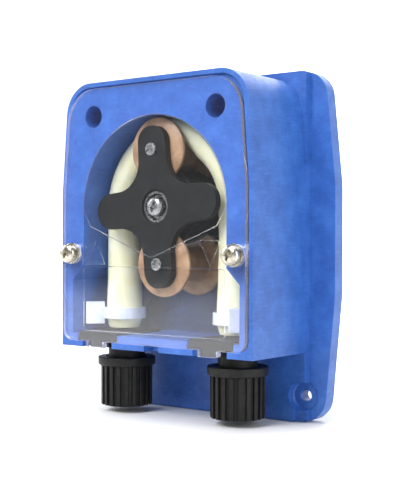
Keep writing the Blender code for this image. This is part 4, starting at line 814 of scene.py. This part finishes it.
def make_ball_cage():
    middle, radius = 4.4, 0.92
    centre = spot(0, 0, 0)
    cage = turned("ball_cage", centre, "y", [(4.75, 6.1), (4.75, 7.7), (4.05, 7.7), (4.05, 6.1)], 56,
                  hollow=True)
    balls = []
    for i in range(7):
        turn = 2 * math.pi * i / 7
        put_down()
        ball_place = spot(middle * math.cos(turn), 6.9, middle * math.sin(turn))
        bpy.ops.mesh.primitive_uv_sphere_add(segments=20, ring_count=12, radius=radius * MM,
                                             location=ball_place)
        balls.append(fresh("ball"))
    cage = join_up("bearing_balls", cage, *balls)
    take(cage)
    bpy.ops.object.shade_smooth_by_angle(angle=math.radians(40))
    place(cage, "ball_cage", "steel", "front_bearing_ball_cage")


def make_shaft_screw():
    screw = pan_head("centre_screw", spot(0, 0, 0), 2.25, 4.1, 16.5)
    place(screw, "drive_shaft", "steel", "shaft_screw")


# --- motor side ---------------------------------------------------------------------------------------

def make_motor_side():
    for node, body, slot_name, width in (
            ("motor_housing", "root", "black_housing", 0.8), ("cable_gland_body", "root", "black_housing", 0.3),
            ("cable_gland_nut", "root", "black_housing", 0.3), ("housing_gasket", "root", "rubber", 0.2)):
        piece = copied(node, node + "_finished")
        soften(piece, width, 3)
        place(piece, body, slot_name, node)


# --- build ------------------------------------------------------------------------------------------------

make_casing()
make_cover()
make_cover_fasteners()
make_hose()
make_ties()
make_nuts()
make_fittings()
make_spider("rotor_front", "front_spider", SPIDER_FRONT, -1)
make_spider("rotor_rear", "rear_spider", SPIDER_BACK, 1)
make_rollers()
make_bearing("front", 4.4, 2.0)
make_bearing("rear", 28.9, 3.0)
make_ball_cage()
make_shaft_screw()
make_motor_side()

slots = {part["node"]: part["material_slot"] for part in frame["record"]["subparts"]}
for node, piece in frame["nodes"].items():
    if not piece.hide_render:
        piece.data.materials.clear()
        piece.data.materials.append(FINISHES[slots[node]].material)

# --- floor, light and camera --------------------------------------------------------------------------------

put_down()
bpy.ops.mesh.primitive_plane_add(size=1.0, location=(0, 0, 0))
floor = bpy.context.active_object
floor.scale = (8.0, 3.0, 1.0)
floor.location = (0, -0.3, -0.0108)
floor = fresh("floor")
open_up(floor)
bpy.ops.mesh.select_mode(type="EDGE")
bpy.ops.mesh.select_all(action="DESELECT")
edges = bmesh.from_edit_mesh(floor.data)
for edge in edges.edges:
    if all(corner.co.y > 1.0 for corner in edge.verts):
        edge.select_set(True)
bmesh.update_edit_mesh(floor.data)
bpy.ops.mesh.extrude_edges_move(TRANSFORM_OT_translate={"value": (0, 0.4, 0.1)})
bpy.ops.mesh.extrude_edges_move(TRANSFORM_OT_translate={"value": (0, 0.15, 0.4)})
bpy.ops.mesh.extrude_edges_move(TRANSFORM_OT_translate={"value": (0, 0.0, 3.0)})
put_down()
take(floor)
bpy.ops.object.shade_smooth()
pale = Finish("pale_floor", [(0.86, 0.86, 0.86, 1), (0.9, 0.9, 0.9, 1)], 300.0, 20.0, 0.01, (0.7, 0.8))
floor.data.materials.append(pale.material)


def lamp(name, where, aim, width, height, power, colour=(1, 1, 1)):
    data = bpy.data.lights.new(name, "AREA")
    data.shape = "RECTANGLE"
    data.size, data.size_y = width, height
    data.energy = power
    data.color = colour
    made = bpy.data.objects.new(name, data)
    made.location = where
    made.rotation_euler = (Vector(aim) - Vector(where)).to_track_quat("-Z", "Y").to_euler()
    bpy.context.scene.collection.objects.link(made)


middle = (0.0, -0.01, 0.06)
lamp("key_softbox", (-0.1, -0.85, 0.75), middle, 0.6, 0.5, 9.0)
lamp("left_softbox", (-1.0, -0.35, 0.5), middle, 0.5, 0.7, 5.0)
lamp("right_softbox", (1.05, -0.3, 0.35), middle, 0.5, 0.8, 5.2)
lamp("top_softbox", (0.1, 0.0, 1.1), middle, 0.8, 0.8, 7.0)
lamp("backdrop_softbox", (-0.5, 0.75, 1.4), (-0.7, 1.6, 0.3), 1.6, 0.6, 60.0)

world = bpy.data.worlds.new("studio")
world.use_nodes = True
room = world.node_tree
room.nodes["Background"].inputs["Color"].default_value = (0.96, 0.98, 1.0, 1)
room.nodes["Background"].inputs["Strength"].default_value = 0.22
seen = room.nodes.new("ShaderNodeBackground")
seen.inputs["Color"].default_value = (1.0, 1.0, 1.0, 1)
path = room.nodes.new("ShaderNodeLightPath")
either = room.nodes.new("ShaderNodeMixShader")
room.links.new(path.outputs["Is Camera Ray"], either.inputs[0])
room.links.new(room.nodes["Background"].outputs[0], either.inputs[1])
room.links.new(seen.outputs[0], either.inputs[2])
room.links.new(either.outputs[0], room.nodes["World Output"].inputs["Surface"])
bpy.context.scene.world = world
bpy.context.scene.view_settings.view_transform = "Standard"

camera_data = bpy.data.cameras.new("camera")
camera_data.lens = 75.10
camera_data.sensor_width = 36.0
camera = bpy.data.objects.new("camera", camera_data)
bpy.context.scene.collection.objects.link(camera)
bpy.context.scene.camera = camera
round_, tilt, roll = math.radians(37.126), math.radians(-0.489), math.radians(0.177)
ahead = Vector((-math.sin(round_) * math.cos(tilt), math.cos(round_) * math.cos(tilt), math.sin(tilt)))
right = Vector((math.cos(round_), math.sin(round_), 0))
up = right.cross(ahead)
level = right * math.cos(roll) + up * math.sin(roll)
raised = up * math.cos(roll) - right * math.sin(roll)
turn = Matrix((level, raised, -ahead)).transposed()
camera.matrix_world = Matrix.Translation((0.27162, -0.37159, 0.06319)) @ turn.to_4x4()
